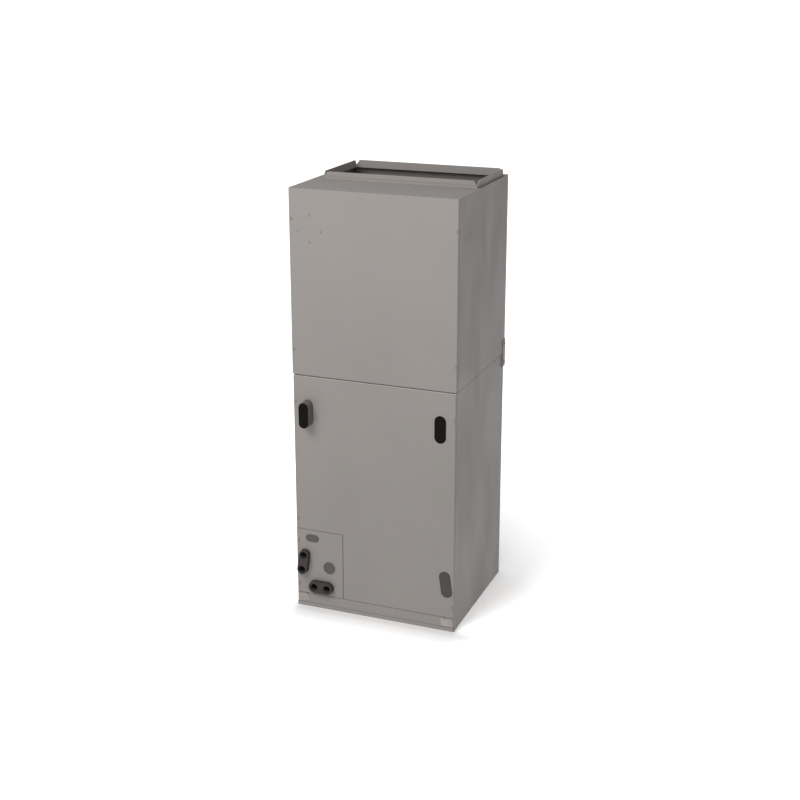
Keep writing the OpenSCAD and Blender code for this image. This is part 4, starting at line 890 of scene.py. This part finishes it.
class AIRHANDLER_OT_wiring(bpy.types.Operator):
    """Lay the motor leads side by side, with ties round them"""
    bl_idname = "air_handler.wiring"
    bl_label = "Motor leads"
    bl_options = {"REGISTER", "UNDO"}

    def execute(self, context):
        s = context.scene.air_handler.controls
        route = smooth_route(LOOM, LOOM_STEPS)
        colours = ((0.010, 0.010, 0.011), (0.45, 0.020, 0.015), (0.62, 0.62, 0.60), (0.55, 0.38, 0.02))
        jackets = [moulded(f"wire_jacket_{i}", c, 0.34, depth=0.00002, dust=0.03) for i, c in enumerate(colours, 1)]
        tie = moulded("wire_tie", (0.014, 0.014, 0.014), 0.4, depth=0.00002, dust=0.02)
        curve = bpy.data.curves.new("motor_leads", "CURVE")
        curve.dimensions = "3D"
        curve.bevel_depth = s.wire / 2
        curve.bevel_resolution = 3
        curve.use_fill_caps = True
        for k in range(len(jackets)):
            line = curve.splines.new("POLY")
            line.points.add(len(route) - 1)
            line.material_index = k
            for i, point in enumerate(route):
                a, b = route[max(0, i - 1)], route[min(len(route) - 1, i + 1)]
                along = (b - a).normalized()
                # No stretch runs along this slanted direction
                side = along.cross(Vector((0.31, 0.22, 0.93))).normalized()
                turn = Matrix.Rotation(math.radians(360 / len(jackets) * k + WIRE_TWIST * i), 3, along)
                line.points[i].co = (*(point + turn @ side * s.wire * WIRE_LAY), 1.0)
        shape = in_scene("motor_leads_curve", curve)
        context.view_layer.update()
        mesh = bpy.data.meshes.new_from_object(shape.evaluated_get(context.evaluated_depsgraph_get()))
        bpy.data.objects.remove(shape)
        bm = bmesh.new()
        bm.from_mesh(mesh)
        inner = s.wire * TIE_R
        outer = inner + TIE_THICK
        outline = [(-TIE_HALF, inner), (-TIE_HALF, outer), (TIE_HALF, outer), (TIE_HALF, inner)]
        for i in TIES:
            along = (route[i + 1] - route[i - 1]).normalized()
            turned_ring(bm, route[i], along, outline, 24, material=len(jackets))
        leads = finish_piece("motor_leads", bm, [*jackets, tie], smooth=50)
        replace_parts(leads, "wiring_harness")
        return {"FINISHED"}


# Filter

# Points along a fold, strips across the cloth, how sharply it is creased, and its thickness
FOLD_STEPS = 10
CLOTH_STRIPS = 24
CREASE = 0.97
CLOTH_THICK = 0.0009
# The backing's wires: how many gaps they leave across and along the filter, and their radius
WIRE_GAPS = (26, 16)
WIRE_R = 0.00045


class AIRHANDLER_OT_filter(bpy.types.Operator):
    """Fold the filter cloth into pleats over its wire backing"""
    bl_idname = "air_handler.filter"
    bl_label = "Air filter"
    bl_options = {"REGISTER", "UNDO"}

    def execute(self, context):
        s, m = context.scene.air_handler.soft, context.scene.air_handler.metal
        dress(pulp_board("filter_board", (0.56, 0.50, 0.38)), "filter_frame")
        cloth = filter_paper("pleated_cloth", s.paper)
        wire = drawn_metal("backing_wire", scaled(m.zinc, 0.9), 0.35)
        low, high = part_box("filter_media")
        inset = Vector((0.0005, 0.0005, 0.0009))
        low, high = low + inset, high - inset
        folds = max(8, round((high.y - low.y) / s.pleat))
        steps = folds * FOLD_STEPS
        bm = bmesh.new()
        line = []
        for i in range(steps + 1):
            t = i / steps
            wave = math.asin(CREASE * math.sin(2 * math.pi * folds * t)) / math.asin(CREASE)
            height = (low.z + high.z) / 2 + wave * (high.z - low.z - 0.001) / 2
            line.append(bm.verts.new((low.x, low.y + (high.y - low.y) * t, height)))
        edges = [bm.edges.new(pair) for pair in zip(line, line[1:])]
        for _ in range(CLOTH_STRIPS):
            made = bmesh.ops.extrude_edge_only(bm, edges=edges)
            verts = [v for v in made["geom"] if isinstance(v, bmesh.types.BMVert)]
            bmesh.ops.translate(bm, verts=verts, vec=((high.x - low.x) / CLOTH_STRIPS, 0, 0))
            edges = [e for e in made["geom"] if isinstance(e, bmesh.types.BMEdge)
                     and all(v in verts for v in e.verts)]
        # The folds wander a little, but not where they meet the frame
        random.seed(4)
        for v in bm.verts:
            if min(v.co.x - low.x, high.x - v.co.x) > 0.004:
                v.co.y += random.uniform(-0.00025, 0.00025)
        bmesh.ops.recalc_face_normals(bm, faces=bm.faces)
        bmesh.ops.solidify(bm, geom=bm.faces[:], thickness=CLOTH_THICK)
        bmesh.ops.recalc_face_normals(bm, faces=bm.faces)
        media = finish_piece("pleated_media", bm, [cloth], "filter", smooth=60)
        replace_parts(media, "filter_media")
        bm = bmesh.new()
        z = high.z + 0.0006
        for i in range(1, WIRE_GAPS[0]):
            x = low.x + (high.x - low.x) * i / WIRE_GAPS[0]
            rod(bm, (x, low.y, z), (x, high.y, z), WIRE_R, 6)
        for i in range(1, WIRE_GAPS[1]):
            y = low.y + (high.y - low.y) * i / WIRE_GAPS[1]
            rod(bm, (low.x, y, z), (high.x, y, z), WIRE_R, 6)
        finish_piece("filter_backing", bm, [wire], "filter")
        return {"FINISHED"}


# Floor, light and camera

# Half the base's width and depth, round which the floor is shaded
BASE_HALF = (0.268, 0.235)
# The narrow dark line where the base stands, and the wide soft shade: how dark, and how far they reach
TOUCH_SHADE, TOUCH_REACH = 0.22, 0.035
SOFT_SHADE, SOFT_REACH = 0.585, 0.24
# The share of the shade that is left beside and behind the base, and to the left of it
SHADE_BEHIND = 0.1
SHADE_LEFT = 0.3
# Away from the base, between these distances, the camera sees the floor brighter still
FAR_GAIN, FAR_FROM, FAR_TO = 1.4, 0.4, 1.1
# Strength of the floor's glow in mirror and glass rays
FLOOR_GLOW = 0.62


def contact_shade(f):
    """How much of its light the floor loses next to the base, mostly in front of it."""
    wide, deep = BASE_HALF
    off = [f.total(f.total(f.total(f.spot(axis), 0.0, "ABSOLUTE"), half, "SUBTRACT"), 0.0, "MAXIMUM")
           for axis, half in (("X", wide), ("Y", deep))]
    apart = f.total(*off)
    near = f.between(apart, 1.0, 0.0, 0.0, TOUCH_REACH)
    shade = f.total(f.total(f.total(near, near, "MULTIPLY"), TOUCH_SHADE, "MULTIPLY"),
                    f.between(apart, SOFT_SHADE, 0.0, 0.0, SOFT_REACH))
    share = f.between(f.spot("Y"), 1.0, SHADE_BEHIND, -deep - 0.02, -deep + 0.04)
    share = f.total(share, f.between(f.spot("X"), SHADE_LEFT, 1.0, -wide - 0.05, -wide + 0.02), "MULTIPLY")
    return f.total(shade, share, "MULTIPLY")


def studio_floor(s):
    """A pale floor, brighter to the camera than to the object, and plain in reflections."""
    bm = bmesh.new()
    bmesh.ops.create_grid(bm, x_segments=1, y_segments=1, size=60.0, matrix=Matrix.Translation((0, 0, -0.0003)))
    mesh = bpy.data.meshes.new("studio_floor")
    bm.to_mesh(mesh)
    bm.free()
    f = Finish("studio_floor")
    seen = f.add("ShaderNodeLightPath").outputs
    away = f.add("ShaderNodeVectorMath", operation="LENGTH")
    f.feed(away.inputs[0], f.place)
    gain = f.between(away.outputs["Value"], s.floor_gain, s.floor_gain * FAR_GAIN, FAR_FROM, FAR_TO)
    gain = f.total(gain, f.total(1.0, contact_shade(f), "SUBTRACT"), "MULTIPLY")
    f.set(Base_Color=f.blend(seen["Is Camera Ray"], s.floor, f.blend(1.0, s.floor, gain, "MULTIPLY")),
          Roughness=0.9, Specular_IOR_Level=0.0)
    glow = f.add("ShaderNodeEmission")
    mirrored = f.total(seen["Is Glossy Ray"], seen["Is Transmission Ray"], "MAXIMUM")
    f.feed(glow.inputs["Strength"], f.total(mirrored, FLOOR_GLOW, "MULTIPLY"))
    both = f.add("ShaderNodeAddShader")
    f.feed(both.inputs[0], f.shader.outputs[0])
    f.feed(both.inputs[1], glow.outputs[0])
    f.feed(f.tree.nodes["Material Output"].inputs["Surface"], both.outputs[0])
    mesh.materials.append(f.material)
    floor = in_scene("studio_floor", mesh)


def studio_light(scene, s):
    """White to the camera, a weaker light from all round, and two lamps."""
    world = bpy.data.worlds.new("studio_light")
    scene.world = world
    world.use_nodes = True
    tree = world.node_tree
    back = tree.nodes["Background"]
    back.inputs["Color"].default_value = (1, 1, 1, 1)
    path = tree.nodes.new("ShaderNodeLightPath")
    pick = tree.nodes.new("ShaderNodeMapRange")
    tree.links.new(path.outputs["Is Camera Ray"], pick.inputs["Value"])
    pick.inputs["To Min"].default_value = s.sky
    pick.inputs["To Max"].default_value = 1.0
    tree.links.new(pick.outputs["Result"], back.inputs["Strength"])
    for name, power, size, place, target in (
            ("key_lamp", s.key, 1.8, (-0.95, -2.40, 3.15), (0, 0, 1.1)),
            ("front_lamp", s.front, 1.2, (0.22, -1.93, 1.72), (0.05, 0, 1.2))):
        lamp = bpy.data.lights.new(name, "AREA")
        lamp.shape = "DISK"
        lamp.size = size
        lamp.energy = power
        obj = in_scene(name, lamp)
        obj.location = place
        obj.rotation_euler = (Vector(target) - obj.location).to_track_quat("-Z", "Y").to_euler()


def photo_camera(scene, s):
    """The camera, as the corners of the cabinet in the photograph give it."""
    camera = bpy.data.cameras.new("photo_camera")
    camera.lens = s.lens
    camera.shift_y = s.rise
    camera.clip_end = 200.0
    eye = in_scene("photo_camera", camera)
    eye.location = s.eye
    eye.rotation_euler = s.aim
    scene.camera = eye


class AIRHANDLER_OT_stage(bpy.types.Operator):
    """Set the floor, the lamps and the camera"""
    bl_idname = "air_handler.stage"
    bl_label = "Floor, light and camera"
    bl_options = {"REGISTER", "UNDO"}

    def execute(self, context):
        scene = context.scene
        s = scene.air_handler.stage
        studio_floor(s)
        studio_light(scene, s)
        photo_camera(scene, s)
        scene.view_settings.view_transform = "Standard"
        return {"FINISHED"}


# Panel and registration

STEPS = (AIRHANDLER_OT_stage, AIRHANDLER_OT_cabinet, AIRHANDLER_OT_sheet_metal, AIRHANDLER_OT_liners,
         AIRHANDLER_OT_ports, AIRHANDLER_OT_coil, AIRHANDLER_OT_motor, AIRHANDLER_OT_controls,
         AIRHANDLER_OT_wiring, AIRHANDLER_OT_filter)


class AIRHANDLER_PT_parts(bpy.types.Panel):
    bl_idname = "AIRHANDLER_PT_parts"
    bl_label = "Air handler"
    bl_space_type = "VIEW_3D"
    bl_region_type = "UI"
    bl_category = "Air handler"

    def draw(self, context):
        settings = context.scene.air_handler
        for step in STEPS:
            self.layout.operator(step.bl_idname)
        for group in ("cabinet", "metal", "coil", "soft", "ports", "controls", "stage"):
            box = self.layout.box()
            box.label(text=group.capitalize())
            values = getattr(settings, group)
            for key in values.bl_rna.properties.keys():
                if key not in ("rna_type", "name"):
                    box.prop(values, key)


CLASSES = (CabinetSettings, MetalSettings, CoilSettings, SoftSettings, PortSettings, ControlSettings,
           StageSettings, AirHandlerSettings, *STEPS, AIRHANDLER_PT_parts)


def register():
    for cls in CLASSES:
        bpy.utils.register_class(cls)
    bpy.types.Scene.air_handler = bpy.props.PointerProperty(type=AirHandlerSettings)


def unregister():
    del bpy.types.Scene.air_handler
    for cls in reversed(CLASSES):
        bpy.utils.unregister_class(cls)


def main():
    register()
    bpy.ops.air_handler.stage()
    bpy.ops.air_handler.cabinet()
    bpy.ops.air_handler.sheet_metal()
    bpy.ops.air_handler.liners()
    bpy.ops.air_handler.ports()
    bpy.ops.air_handler.coil()
    bpy.ops.air_handler.motor()
    bpy.ops.air_handler.controls()
    bpy.ops.air_handler.wiring()
    bpy.ops.air_handler.filter()


if __name__ == "__main__":
    main()
